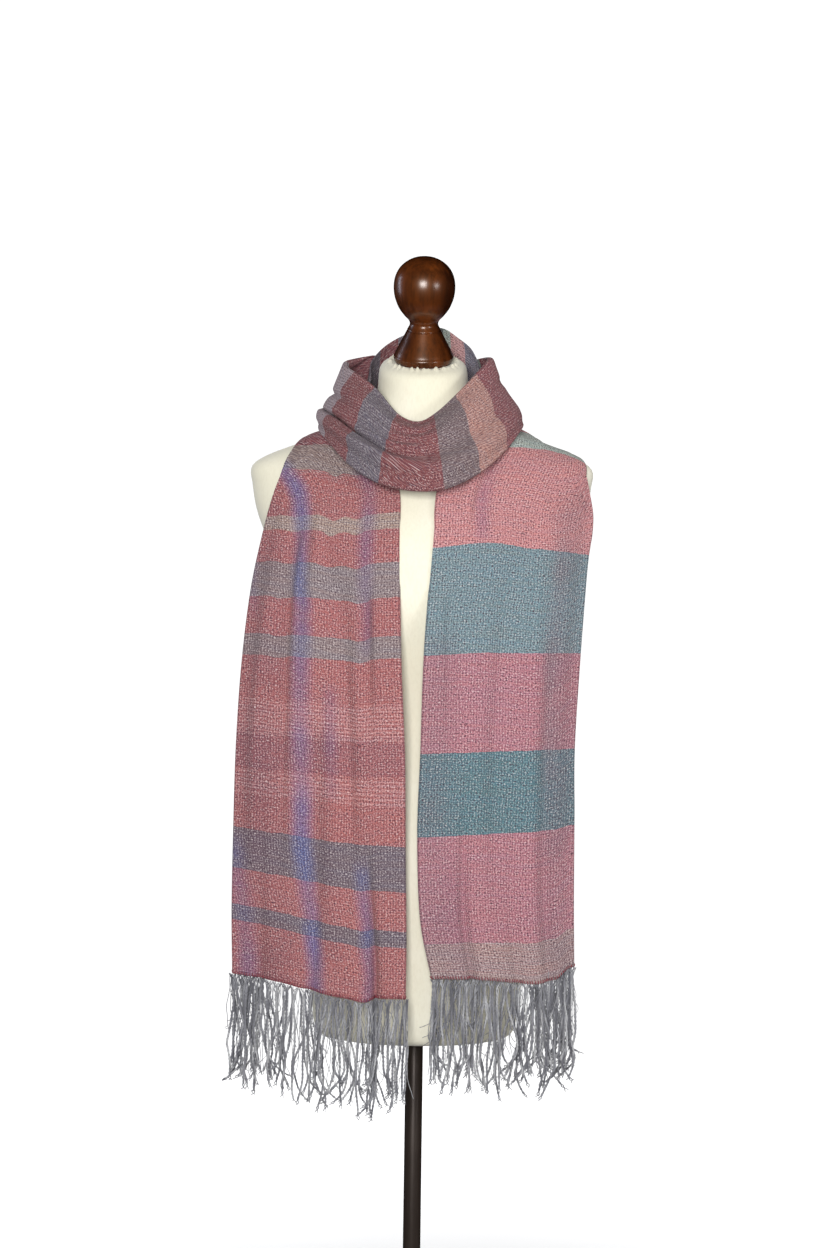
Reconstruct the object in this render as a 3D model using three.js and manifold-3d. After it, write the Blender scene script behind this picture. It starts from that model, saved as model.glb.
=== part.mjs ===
// A woven fringed scarf, wound once round the neck of a limbless dress form on a stand.
// Millimetres. +Z is up, +X is the viewer's right and -Y is the front.
// The origin is on the floor, on the axis of the pole.
import * as THREE from 'three';
import * as BufferGeometryUtils from 'three/addons/utils/BufferGeometryUtils.js';
import Module from 'manifold-3d';

const wasm = await Module();
wasm.setup();

// Stand
const BASE_RADIUS = 170;
const BASE_THICKNESS = 9;
const BASE_EDGE = 2;
const BASE_SIDES = 48;
const POLE_RADIUS = 9.8;
const POLE_SIDES = 24;
const GAP = 0.3;

// Dress form. Each row is a level ring: its height, half its width, and its depth
// in front of and behind the axis of the pole.
const FORM_RINGS = [
  { height: 515, halfWidth: 98, front: 76, back: 76 },
  { height: 520, halfWidth: 108, front: 85, back: 86 },
  { height: 532, halfWidth: 113, front: 90, back: 92 },
  { height: 560, halfWidth: 116, front: 93, back: 97 },
  { height: 630, halfWidth: 134, front: 101, back: 110 },
  { height: 710, halfWidth: 147, front: 106, back: 117 },
  { height: 790, halfWidth: 138, front: 99, back: 104 },
  { height: 875, halfWidth: 121, front: 90, back: 86 },
  { height: 945, halfWidth: 130, front: 101, back: 91 },
  { height: 1010, halfWidth: 150, front: 118, back: 102 },
  { height: 1060, halfWidth: 169, front: 110, back: 106 },
  { height: 1100, halfWidth: 184, front: 93, back: 104 },
  { height: 1130, halfWidth: 189.5, front: 79, back: 96 },
  { height: 1150, halfWidth: 190, front: 67, back: 84 },
  { height: 1162.5, halfWidth: 172, front: 60, back: 76 },
  { height: 1177, halfWidth: 134, front: 55, back: 68 },
  { height: 1193, halfWidth: 92, front: 52, back: 61 },
  { height: 1210, halfWidth: 65, front: 50, back: 55 },
  { height: 1230, halfWidth: 53, front: 49, back: 50 },
  { height: 1250, halfWidth: 50, front: 49, back: 49 },
  { height: 1300, halfWidth: 49, front: 49, back: 49 },
];
const FORM_ROUNDNESS = 2.2;
const FORM_AROUND = 40;
const FORM_LEVELS = [515, 516.5, 520, 532, 560, 600, 650, 710, 770, 830, 880, 930, 975, 1015, 1050,
  1080, 1108, 1131, 1146, 1156, 1168, 1182, 1197, 1212, 1231];
const UNDERSIDE_HALF_WIDTH = 92;
// The neck ends in a plate that leans forward, with a rounded rim.
const NECK_PLATE_HEIGHT = 1268;
const NECK_LEAN = THREE.MathUtils.degToRad(20);
const NECK_RADIUS = 49;
const NECK_RIM = [
  { below: 12, inset: 0 },
  { below: 5, inset: 1.5 },
  { below: 1.3, inset: 5 },
  { below: 0, inset: 10 },
];

// Turned cap: radius and height above the neck plate, along its own leaning axis
const CAP_SIDES = 24;
const CAP_PROFILE = [
  [0, 0.3], [28.5, 0.3], [32.3, 2.6], [33.7, 7.6], [30.8, 14], [25, 25], [19, 36], [16.2, 42.5],
  [15.8, 45.5], [17.2, 49], [21.4, 54.5], [27.2, 63.5], [31.5, 75], [33, 86.3], [31.3, 97],
  [26.6, 106.2], [19, 113.4], [10, 117.9], [0, 119.3],
];

// Cloth. Each stretch is a wall about its middle surface. A row of a table is one line of
// weft across the cloth. Its first edge is the one nearer to the neck, and its second edge
// lies outside or below. The columns brow and roll push the line out at its upper and lower
// part. The columns crease and creaseAt sink a fold into it, and dip lets it sag in height.
// The columns turnIn and turnOut are the widths of cloth turned back behind the two edges.
const CLOTH = 2;
const REST = 2.1;
const LAYER = 3.7;
const SETTLE_ROUNDS = 3;
const SETTLE_SLACK = 0.2;
const SEAM = 0.6;
const LINES_PER_ROW = 2;
const TURN_RADIUS = 2.9;
const FULL_TURN_WIDTH = 9;
const ACROSS_IN = 3;
const ACROSS = 12;
const ACROSS_OUT = 3;
const BROW_AT = 0.33;
const BROW_SPREAD = 0.24;
const ROLL_AT = 0.8;
const ROLL_SPREAD = 0.19;
const CREASE_SPREAD = 0.06;
const DIP_AT = 0.35;
const DIP_SPREAD = 0.3;
const HELD_EDGE = 0.12;
const PROBE = 0.5;
const PUSHES = 8;
const LONGEST_PUSH = 12;

function table(columns, rows) {
  return rows.map((row) => Object.fromEntries(columns.map((name, k) => [name, row[k]])));
}

// Loop in front of the neck and round the back, by angle from the front towards +X.
// The upper edge is the lip and the lower edge is the foot, each a radius and a height.
const LOOP_COLUMNS = ['angle', 'lip', 'foot', 'brow', 'roll', 'crease', 'creaseAt', 'turnIn', 'turnOut'];
const COWL_ROWS = table(LOOP_COLUMNS, [
  [-138, [74, 1280], [82, 1228], 1, 0, 0, 0.6, 0, 0],
  [-125, [80, 1276], [90, 1218], 1, 0, 0, 0.6, 6, 0],
  [-112, [86, 1272], [101, 1211], 1, 1, 0, 0.6, 12, 2],
  [-94, [90, 1266], [113, 1199.5], 0, 6, 2, 0.7, 16, 6],
  [-78, [89, 1257], [117, 1191], 2, 8, 5, 0.66, 18, 8],
  [-60, [83, 1246], [117, 1175], 7, 10, 6, 0.62, 18, 9],
  [-42, [77, 1229], [118, 1151], 13, 13, 7, 0.54, 18, 10],
  [-22, [73, 1202], [122, 1130], 15, 14, 6, 0.44, 18, 10],
  [-4, [72, 1194], [123, 1122], 15, 13, 2, 0.42, 18, 10],
  [12, [72, 1204], [123, 1125], 13, 12, 0, 0.4, 18, 10],
  [32, [73, 1226], [119, 1144], 11, 11, 0, 0.4, 18, 10],
  [52, [75, 1248], [114, 1169], 6, 8, 0, 0.4, 18, 8],
  [72, [78, 1266], [112, 1191], 1, 5, 0, 0.4, 16, 6],
  [90, [78, 1272], [112, 1201], -2, 3, 0, 0.4, 10, 4],
  [108, [78, 1275], [113, 1200], -1, 2, 0, 0.4, 4, 2],
]);
const NAPE_OUTER_ROWS = table(LOOP_COLUMNS, [
  [128, [79, 1276], [119, 1182], 0, 3, 2, 0.5, 2, 0],
  [150, [80, 1275], [126, 1156], 0, 3, 3, 0.5, 0, 0],
  [172, [83, 1270], [132, 1133], 0, 2, 3, 0.5, 0, 0],
  [192, [88, 1259], [139, 1122], 0, 2, 2, 0.5, 0, 0],
  [212, [93, 1240], [152, 1120], 0, 2, 0, 0.5, 0, 0],
  [230, [96, 1220], [156, 1134], 0, 1, 0, 0.5, 0, 0],
]);
const NAPE_INNER_ROWS = table(LOOP_COLUMNS, [
  [142, [63, 1302], [117, 1140], -15, -8, 0, 0.5, 0, 0],
  [160, [63, 1314], [101, 1142], -10, -6, 2, 0.6, 0, 0],
  [180, [61, 1313], [91, 1152], -7, -4, 3, 0.6, 0, 0],
  [200, [61, 1306], [85, 1168], -5, -3, 2, 0.6, 0, 0],
  [220, [62, 1294], [80, 1192], -3, -2, 0, 0.6, 0, 0],
  [236, [63, 1281], [73, 1211], -1, 0, 0, 0.6, 0, 0],
  [252, [62, 1268], [69, 1221], 0, 0, 0, 0.6, 0, 0],
  [272, [59, 1250], [64, 1222], 0, 0, 0, 0.6, 0, 0],
]);

// Tails, from the back of the shoulder over it and down to the hem
const TAIL_COLUMNS = ['inner', 'outer', 'brow', 'roll', 'crease', 'creaseAt', 'dip', 'turnIn', 'turnOut'];
const TAIL_LEFT_ROWS = table(TAIL_COLUMNS, [
  [[-84, 36, 1203], [-134, 62, 1163], 2, 2, 0, 0.5, 0, 0, 0],
  [[-81, 8, 1202], [-129, 12, 1183], 1, 1, 0, 0.5, 0, 0, 0],
  [[-72, -30, 1196], [-140, -29, 1172], 2, 1, 0, 0.5, 0, 0, 0],
  [[-48, -62, 1171], [-152, -47, 1145], 4, 1, 2, 0.45, 3, 0, 0],
  [[-28, -86, 1128], [-162, -56, 1110], 6, 3, 3, 0.42, 6, 2, 3],
  [[-27, -107, 1075], [-171, -64, 1072], 7, 5, 4, 0.4, 7, 5, 9],
  [[-26, -122, 1010], [-182, -76, 1012], 4, 8, 4, 0.38, 5, 8, 18],
  [[-23, -126, 925], [-190, -87, 932], 2, 7, 3, 0.36, 4, 9, 27],
  [[-18, -127, 830], [-194.5, -93, 842], 2, 6, 2, 0.34, 3, 9, 34],
  [[-16, -126, 725], [-196, -95, 745], 3, 5, 3, 0.26, 4, 9, 38],
  [[-14, -125, 640], [-196.5, -95, 664], 4, 4, 5, 0.2, 6, 9, 40],
  [[-14, -124, 577], [-195, -94, 595], 5, 3, 6, 0.16, 9, 9, 40],
]);
const TAIL_RIGHT_ROWS = table(TAIL_COLUMNS, [
  [[53, 33, 1288], [119, 75, 1152], -22, -12, 0, 0.5, 0, 0, 0],
  [[60, 14, 1271], [152, 44, 1162], -32, -14, 0, 0.5, 0, 0, 0],
  [[60, -10, 1254], [166, 8, 1164], -30, -10, 0, 0.5, 0, 0, 0],
  [[54, -36, 1222], [180, -26, 1146], -14, -2, 0, 0.5, 0, 0, 0],
  [[40, -64, 1178], [186, -42, 1112], 2, 4, 2, 0.3, -3, 0, 1],
  [[21, -90, 1122], [185.5, -55, 1082], 5, 5, 4, 0.28, -6, 4, 6],
  [[17, -108, 1068], [180, -68, 1046], 5, 7, 4, 0.27, -8, 8, 14],
  [[12, -123, 1002], [175.5, -80, 996], 4, 8, 2, 0.27, -4, 11, 26],
  [[8, -128, 930], [171, -90, 936], 4, 7, 0, 0.3, -2, 13, 38],
  [[6, -129, 834], [166, -96, 843], 5, 5, 3, 0.8, 0, 14, 46],
  [[4, -128, 753], [166.5, -98, 768], 6, 5, 4, 0.81, 1, 14, 50],
  [[8, -126, 662], [167, -98, 680], 6, 4, 5, 0.83, 2, 14, 52],
  [[21, -122, 597], [168.5, -96, 607], 6, 3, 6, 0.85, 3, 12, 52],
]);

// Fringe: twisted warp ends on a narrow strip that follows the hem
const STRIP_HEIGHT = 3;
const FRINGE_GAP = 0.6;
const STRAND_RADIUS = 1.25;
const STRAND_STEPS = 3;
const STRAND_SIDES = 3;
const TIP_TAPER = 0.6;
const CURL_TURN = 2.6;
const LENGTH_SPREAD = 0.12;
const SEED_PER_STRAND = 7.31;
const SEED_PER_DRAW = 1.77;
const FRINGES = [
  { name: 'fringe_left', pitch: 4.6, length: 103, spread: 6, curl: 3, seed: 3 },
  { name: 'fringe_right', pitch: 4.4, length: 105, spread: 5, curl: 3, seed: 11 },
];

const DEEP_RED = new THREE.MeshStandardMaterial({ color: 0x97525a, roughness: 0.9 });
const ROSE = new THREE.MeshStandardMaterial({ color: 0xb06a79, roughness: 0.9 });
const MAUVE = new THREE.MeshStandardMaterial({ color: 0x8c616a, roughness: 0.9 });
const GREY_YARN = new THREE.MeshStandardMaterial({ color: 0x85878b, roughness: 0.9 });
const CREAM_JERSEY = new THREE.MeshStandardMaterial({ color: 0xf3eedc, roughness: 0.95 });
const DARK_WOOD = new THREE.MeshStandardMaterial({ color: 0x4a2413, roughness: 0.3 });
const DARK_METAL = new THREE.MeshStandardMaterial({ color: 0x2e2623, roughness: 0.4, metalness: 0.8 });

// Smooth value of a table's column between its rows, by slopes taken over both neighbours
function smoothBetween(places, values, at) {
  const last = places.length - 1;
  let k = 0;
  while (k < last - 1 && at > places[k + 1]) k += 1;
  const slope = (i) => {
    const a = Math.max(i - 1, 0);
    const b = Math.min(i + 1, last);
    return (values[b] - values[a]) / (places[b] - places[a]);
  };
  const span = places[k + 1] - places[k];
  const t = THREE.MathUtils.clamp((at - places[k]) / span, 0, 1);
  const rise = values[k + 1] - values[k];
  const bend = t * t * (3 - 2 * t);
  const start = t * (1 - t) * (1 - t) * span * slope(k);
  const end = t * t * (t - 1) * span * slope(k + 1);
  return values[k] + rise * bend + start + end;
}

const FORM_HEIGHTS = FORM_RINGS.map((ring) => ring.height);

function formSize(column, height) {
  return smoothBetween(FORM_HEIGHTS, FORM_RINGS.map((ring) => ring[column]), height);
}

// Above 1 outside the form and below 1 inside it
function formReach(point) {
  const halfWidth = formSize('halfWidth', point.z);
  const depth = formSize(point.y < 0 ? 'front' : 'back', point.z);
  const across = Math.abs(point.x / halfWidth) ** FORM_ROUNDNESS;
  const along = Math.abs(point.y / depth) ** FORM_ROUNDNESS;
  return (across + along) ** (1 / FORM_ROUNDNESS);
}

// Moves a point that lies too near the form out to the clearance, along the form's own slope
function restOnForm(point, clearance) {
  for (let turn = 0; turn < PUSHES; turn += 1) {
    const here = formReach(point);
    const slope = new THREE.Vector3(
      formReach(point.clone().add(new THREE.Vector3(PROBE, 0, 0))) - here,
      formReach(point.clone().add(new THREE.Vector3(0, PROBE, 0))) - here,
      formReach(point.clone().add(new THREE.Vector3(0, 0, PROBE))) - here,
    ).divideScalar(PROBE);
    const away = (here - 1) / slope.length();
    if (away >= clearance) return point;
    point.addScaledVector(slope.normalize(), Math.min(clearance - away, LONGEST_PUSH));
  }
  return point;
}

function polarRow(row) {
  const turn = THREE.MathUtils.degToRad(row.angle);
  const place = ([radius, height]) => [radius * Math.sin(turn), -radius * Math.cos(turn), height];
  return { ...row, dip: 0, inner: place(row.lip), outer: place(row.foot) };
}

function hump(at, centre, spread) {
  return Math.exp(-(((at - centre) / spread) ** 2));
}

// One line of weft across the cloth, with its turned edges
function weftLine(row, outward) {
  const inner = new THREE.Vector3(...row.inner);
  const outer = new THREE.Vector3(...row.outer);
  const across = outer.clone().sub(inner).normalize();
  const line = [];
  for (let i = 0; i <= ACROSS; i += 1) {
    const at = i / ACROSS;
    const ends = Math.min(1, at / HELD_EDGE, (1 - at) / HELD_EDGE);
    const push = row.brow * hump(at, BROW_AT, BROW_SPREAD) + row.roll * hump(at, ROLL_AT, ROLL_SPREAD)
      - row.crease * hump(at, row.creaseAt, CREASE_SPREAD);
    const point = inner.clone().lerp(outer, at).addScaledVector(outward, push * ends);
    point.z -= row.dip * hump(at, DIP_AT, DIP_SPREAD);
    line.push(point);
  }
  const turnedEdge = (edge, way, width, count) => {
    const bend = Math.PI * Math.min(1, width / FULL_TURN_WIDTH);
    const arc = TURN_RADIUS * bend;
    const points = [];
    for (let i = 1; i <= count; i += 1) {
      const walked = i < count ? (Math.min(arc, width) * i) / (count - 1) : width;
      const turned = bend * Math.min(1, walked / Math.max(arc, 0.001));
      const straight = Math.max(0, walked - arc);
      points.push(edge.clone()
        .addScaledVector(way, TURN_RADIUS * Math.sin(turned) + straight * Math.cos(turned))
        .addScaledVector(outward, -TURN_RADIUS * (1 - Math.cos(turned)) - straight * Math.sin(turned)));
    }
    return points;
  };
  const back = turnedEdge(line[0], across.clone().negate(), row.turnIn, ACROSS_IN).reverse();
  const under = turnedEdge(line[ACROSS], across, row.turnOut, ACROSS_OUT);
  return { back, line, under };
}

// The middle surface of a whole length of cloth, as lines of weft
function clothLines(rows, layersBeneath) {
  const places = rows.map((row, k) => k);
  const column = (name, at) => smoothBetween(places, rows.map((row) => row[name]), at);
  const edge = (name, at) => [0, 1, 2].map((axis) => (
    smoothBetween(places, rows.map((row) => row[name][axis]), at)));
  const dense = [];
  for (let j = 0; j <= (rows.length - 1) * LINES_PER_ROW; j += 1) {
    const at = j / LINES_PER_ROW;
    dense.push({
      inner: edge('inner', at),
      outer: edge('outer', at),
      brow: column('brow', at),
      roll: column('roll', at),
      crease: column('crease', at),
      creaseAt: column('creaseAt', at),
      dip: column('dip', at),
      turnIn: Math.max(0, column('turnIn', at)),
      turnOut: Math.max(0, column('turnOut', at)),
      clearance: REST + layersBeneath(at) * LAYER,
    });
  }
  const middle = (row) => new THREE.Vector3(...row.inner).lerp(new THREE.Vector3(...row.outer), 0.5);
  return dense.map((row, j) => {
    const before = middle(dense[Math.max(j - 1, 0)]);
    const after = middle(dense[Math.min(j + 1, dense.length - 1)]);
    const across = new THREE.Vector3(...row.outer).sub(new THREE.Vector3(...row.inner));
    const outward = across.clone().cross(after.sub(before)).normalize();
    if (outward.dot(new THREE.Vector3(row.outer[0], row.outer[1], 0)) < 0) outward.negate();
    const { back, line, under } = weftLine(row, outward);
    return { points: [...back, ...line, ...under], clearance: row.clearance };
  });
}

// Settles lines of weft on the form, so that the straight edges between their points clear it too
function settle(lines) {
  const settled = lines.map(({ points, clearance }) => points.map((point) => restOnForm(point, clearance)));
  for (let round = 0; round < SETTLE_ROUNDS; round += 1) {
    for (let j = 0; j < lines.length; j += 1) {
      for (let i = 0; i < settled[j].length; i += 1) {
        for (const [dj, di] of [[0, 1], [1, 0], [1, 1], [1, -1]]) {
          const here = settled[j][i];
          const there = settled[j + dj]?.[i + di];
          if (there) {
            const centre = here.clone().lerp(there, 0.5);
            const push = restOnForm(centre.clone(), lines[j].clearance - SETTLE_SLACK).sub(centre);
            here.add(push);
            there.add(push);
          }
        }
      }
    }
  }
  return settled;
}

function surfaceNormals(lines) {
  return lines.map((line, j) => line.map((point, i) => {
    const alongWeft = line[Math.min(i + 1, line.length - 1)].clone().sub(line[Math.max(i - 1, 0)]);
    const alongWarp = lines[Math.min(j + 1, lines.length - 1)][i].clone().sub(lines[Math.max(j - 1, 0)][i]);
    return alongWeft.cross(alongWarp).normalize();
  }));
}

// A closed wall with the given thickness about a middle surface
function wallAbout(lines, thickness, normals = surfaceNormals(lines)) {
  const rows = lines.length;
  const columns = lines[0].length;
  const positions = [];
  for (const side of [1, -1]) {
    lines.forEach((line, j) => line.forEach((point, i) => {
      const p = point.clone().addScaledVector(normals[j][i], (side * thickness) / 2);
      positions.push(p.x, p.y, p.z);
    }));
  }
  const at = (side, j, i) => side * rows * columns + j * columns + i;
  const index = [];
  const quad = (a, b, c, d) => index.push(a, b, c, a, c, d);
  for (let j = 0; j < rows - 1; j += 1) {
    for (let i = 0; i < columns - 1; i += 1) {
      quad(at(0, j, i), at(0, j, i + 1), at(0, j + 1, i + 1), at(0, j + 1, i));
      quad(at(1, j, i), at(1, j + 1, i), at(1, j + 1, i + 1), at(1, j, i + 1));
    }
    quad(at(0, j, 0), at(0, j + 1, 0), at(1, j + 1, 0), at(1, j, 0));
    quad(at(0, j + 1, columns - 1), at(0, j, columns - 1), at(1, j, columns - 1), at(1, j + 1, columns - 1));
  }
  for (let i = 0; i < columns - 1; i += 1) {
    quad(at(0, 0, i + 1), at(0, 0, i), at(1, 0, i), at(1, 0, i + 1));
    quad(at(0, rows - 1, i), at(0, rows - 1, i + 1), at(1, rows - 1, i + 1), at(1, rows - 1, i));
  }
  return indexedGeometry(positions, index);
}

function indexedGeometry(positions, index) {
  const geometry = new THREE.BufferGeometry();
  geometry.setAttribute('position', new THREE.Float32BufferAttribute(positions, 3));
  geometry.setIndex(index);
  geometry.computeVertexNormals();
  return geometry;
}

function namedMesh(name, geometry, material) {
  const mesh = new THREE.Mesh(geometry, material);
  mesh.name = name;
  return mesh;
}

// Closed skin through level rings, from the first ring up to the last
function skinThrough(rings) {
  const around = rings[0].length;
  const positions = rings.flat().flatMap((p) => [p.x, p.y, p.z]);
  const index = [];
  for (let k = 0; k < rings.length - 1; k += 1) {
    for (let i = 0; i < around; i += 1) {
      const next = (i + 1) % around;
      const [a, b, c, d] = [k * around + i, k * around + next, (k + 1) * around + next, (k + 1) * around + i];
      index.push(a, b, c, a, c, d);
    }
  }
  for (let i = 1; i < around - 1; i += 1) {
    index.push(0, i + 1, i);
    const top = (rings.length - 1) * around;
    index.push(top, top + i, top + i + 1);
  }
  return indexedGeometry(positions, index);
}

function formRing(halfWidth, front, back, placeHeight) {
  const ring = [];
  for (let i = 0; i < FORM_AROUND; i += 1) {
    const turn = (2 * Math.PI * i) / FORM_AROUND;
    const soften = (v) => Math.sign(v) * Math.abs(v) ** (2 / FORM_ROUNDNESS);
    const x = halfWidth * soften(Math.cos(turn));
    const y = (Math.sin(turn) < 0 ? front : back) * soften(Math.sin(turn));
    ring.push(new THREE.Vector3(x, y, placeHeight(y)));
  }
  return ring;
}

function dressForm() {
  const rings = FORM_LEVELS.map((level, k) => {
    const inset = k === 0 ? UNDERSIDE_HALF_WIDTH / formSize('halfWidth', level) : 1;
    return formRing(formSize('halfWidth', level) * inset, formSize('front', level) * inset,
      formSize('back', level) * inset, () => level);
  });
  for (const { below, inset } of NECK_RIM) {
    const radius = NECK_RADIUS - inset;
    rings.push(formRing(radius, radius, radius, (y) => NECK_PLATE_HEIGHT - below + y * Math.tan(NECK_LEAN)));
  }
  return namedMesh('form', skinThrough(rings), CREAM_JERSEY);
}

function lathe(profile, sides) {
  const geometry = new THREE.LatheGeometry(profile.map(([r, h]) => new THREE.Vector2(r, h)), sides);
  geometry.rotateX(Math.PI / 2);
  return geometry;
}

function neckCap() {
  const mesh = namedMesh('neck_cap', lathe(CAP_PROFILE, CAP_SIDES), DARK_WOOD);
  mesh.position.set(0, 0, NECK_PLATE_HEIGHT);
  mesh.rotation.x = NECK_LEAN;
  return mesh;
}

function pole() {
  const foot = BASE_THICKNESS + GAP;
  const head = FORM_RINGS[0].height - GAP;
  const profile = [[0, foot], [POLE_RADIUS, foot], [POLE_RADIUS, head], [0, head]];
  return namedMesh('pole', lathe(profile, POLE_SIDES), DARK_METAL);
}

function base() {
  const rim = BASE_RADIUS - BASE_EDGE;
  const shoulder = BASE_THICKNESS - BASE_EDGE;
  const edge = [[BASE_RADIUS, 0], [BASE_RADIUS, shoulder], [rim, BASE_THICKNESS]];
  const profile = [[0, 0], ...edge, [0, BASE_THICKNESS]];
  return namedMesh('base', lathe(profile, BASE_SIDES), DARK_METAL);
}

// One stretch of a length of cloth, between two of its rows. At a cut it stops short by half
// of the gap to the next stretch.
function stretch(name, lines, normals, firstRow, lastRow, material) {
  const first = firstRow * LINES_PER_ROW;
  const last = lastRow * LINES_PER_ROW;
  const towards = (line, next) => line.map((point, i) => {
    const way = next[i].clone().sub(point);
    return point.clone().addScaledVector(way, SEAM / 2 / way.length());
  });
  const part = lines.slice(first, last + 1);
  if (first > 0) part[0] = towards(lines[first], lines[first + 1]);
  if (last < lines.length - 1) part[part.length - 1] = towards(lines[last], lines[last - 1]);
  return namedMesh(name, wallAbout(part, CLOTH, normals.slice(first, last + 1)), material);
}

function solidOf(geometry) {
  const bare = geometry.clone();
  bare.deleteAttribute('normal');
  bare.deleteAttribute('uv');
  const merged = BufferGeometryUtils.mergeVertices(bare);
  return new wasm.Manifold(new wasm.Mesh({
    numProp: 3,
    vertProperties: new Float32Array(merged.attributes.position.array),
    triVerts: new Uint32Array(merged.index.array),
  }));
}

function geometryOf(solid) {
  const { vertProperties, triVerts } = solid.getMesh();
  return indexedGeometry(Array.from(vertProperties), Array.from(triVerts));
}

// Fixed sequence of numbers from 0 to 1 for uneven strands
function uneven(seed) {
  const wave = Math.sin(seed * 12.9898) * 43758.5453;
  return wave - Math.floor(wave);
}

function strand(root, length, lean, curl) {
  const rings = [];
  for (let k = 0; k <= STRAND_STEPS; k += 1) {
    const t = k / STRAND_STEPS;
    const centre = new THREE.Vector3(
      root.x + lean.x * t * t + curl * Math.sin(CURL_TURN * t),
      root.y + lean.y * t * t,
      root.z - length * t,
    );
    const radius = STRAND_RADIUS * (k === STRAND_STEPS ? TIP_TAPER : 1);
    const ring = [];
    for (let i = 0; i < STRAND_SIDES; i += 1) {
      const turn = (2 * Math.PI * i) / STRAND_SIDES;
      ring.push(centre.clone().add(new THREE.Vector3(radius * Math.cos(turn), radius * Math.sin(turn), 0)));
    }
    rings.unshift(ring);
  }
  return skinThrough(rings);
}

function fringe({ name, pitch, length, spread, curl, seed }, hem) {
  const drop = (point, by) => point.clone().add(new THREE.Vector3(0, 0, -by));
  const top = hem.map((p) => drop(p, FRINGE_GAP));
  const bottom = hem.map((p) => drop(p, FRINGE_GAP + STRIP_HEIGHT));
  const strip = wallAbout([top, bottom], CLOTH);
  const path = new THREE.CatmullRomCurve3(hem.map((p) => drop(p, FRINGE_GAP + STRIP_HEIGHT / 2)));
  const count = Math.floor(path.getLength() / pitch);
  let solid = solidOf(strip);
  for (let k = 0; k < count; k += 1) {
    const root = path.getPointAt((k + 0.5) / count);
    const draw = (n) => uneven(seed + k * SEED_PER_STRAND + n * SEED_PER_DRAW) - 0.5;
    const lean = { x: spread * draw(1), y: spread * draw(2) };
    solid = solid.add(solidOf(strand(root, length * (1 + LENGTH_SPREAD * draw(3)), lean, curl * draw(4))));
  }
  return namedMesh(name, geometryOf(solid), GREY_YARN);
}

// The cloth runs from the right hem over the right shoulder and round the nape, then through
// the loop in front, round the nape again and down to the left hem.
const firstRows = [...TAIL_RIGHT_ROWS.toReversed(), ...NAPE_INNER_ROWS.map(polarRow)];
const secondRows = [...COWL_ROWS, ...NAPE_OUTER_ROWS].map(polarRow).concat(TAIL_LEFT_ROWS);
const atRightShoulder = TAIL_RIGHT_ROWS.length - 1;
const atRightSide = COWL_ROWS.length - 1;
const atLeftShoulder = COWL_ROWS.length + NAPE_OUTER_ROWS.length - 1;
const firstLines = settle(clothLines(firstRows, () => 0));
const layersUnderSecond = (at) => THREE.MathUtils.clamp(atLeftShoulder + 1 - at, 0, 1);
const secondLines = settle(clothLines(secondRows, layersUnderSecond));
const firstNormals = surfaceNormals(firstLines);
const secondNormals = surfaceNormals(secondLines);

const scarf = new THREE.Group();
scarf.add(
  stretch('tail_right', firstLines, firstNormals, 0, atRightShoulder, ROSE),
  stretch('nape_inner', firstLines, firstNormals, atRightShoulder, firstRows.length - 1, ROSE),
  stretch('cowl', secondLines, secondNormals, 0, atRightSide, MAUVE),
  stretch('nape_outer', secondLines, secondNormals, atRightSide, atLeftShoulder, DEEP_RED),
  stretch('tail_left', secondLines, secondNormals, atLeftShoulder, secondRows.length - 1, DEEP_RED),
  fringe(FRINGES[0], secondLines[secondLines.length - 1]),
  fringe(FRINGES[1], firstLines[0]),
);

const stand = new THREE.Group();
stand.add(dressForm(), neckCap(), pole(), base());

const group = new THREE.Group();
group.add(scarf, stand);

export default group;
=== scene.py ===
# A woven fringed scarf, wound once round the neck of a limbless dress form on a stand.
# Metres. +Z is up, +X is the viewer's right and -Y is the front. The floor is at z = 0.
import math
import random

import bpy
import numpy as np
from mathutils import Matrix, Vector


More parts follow.
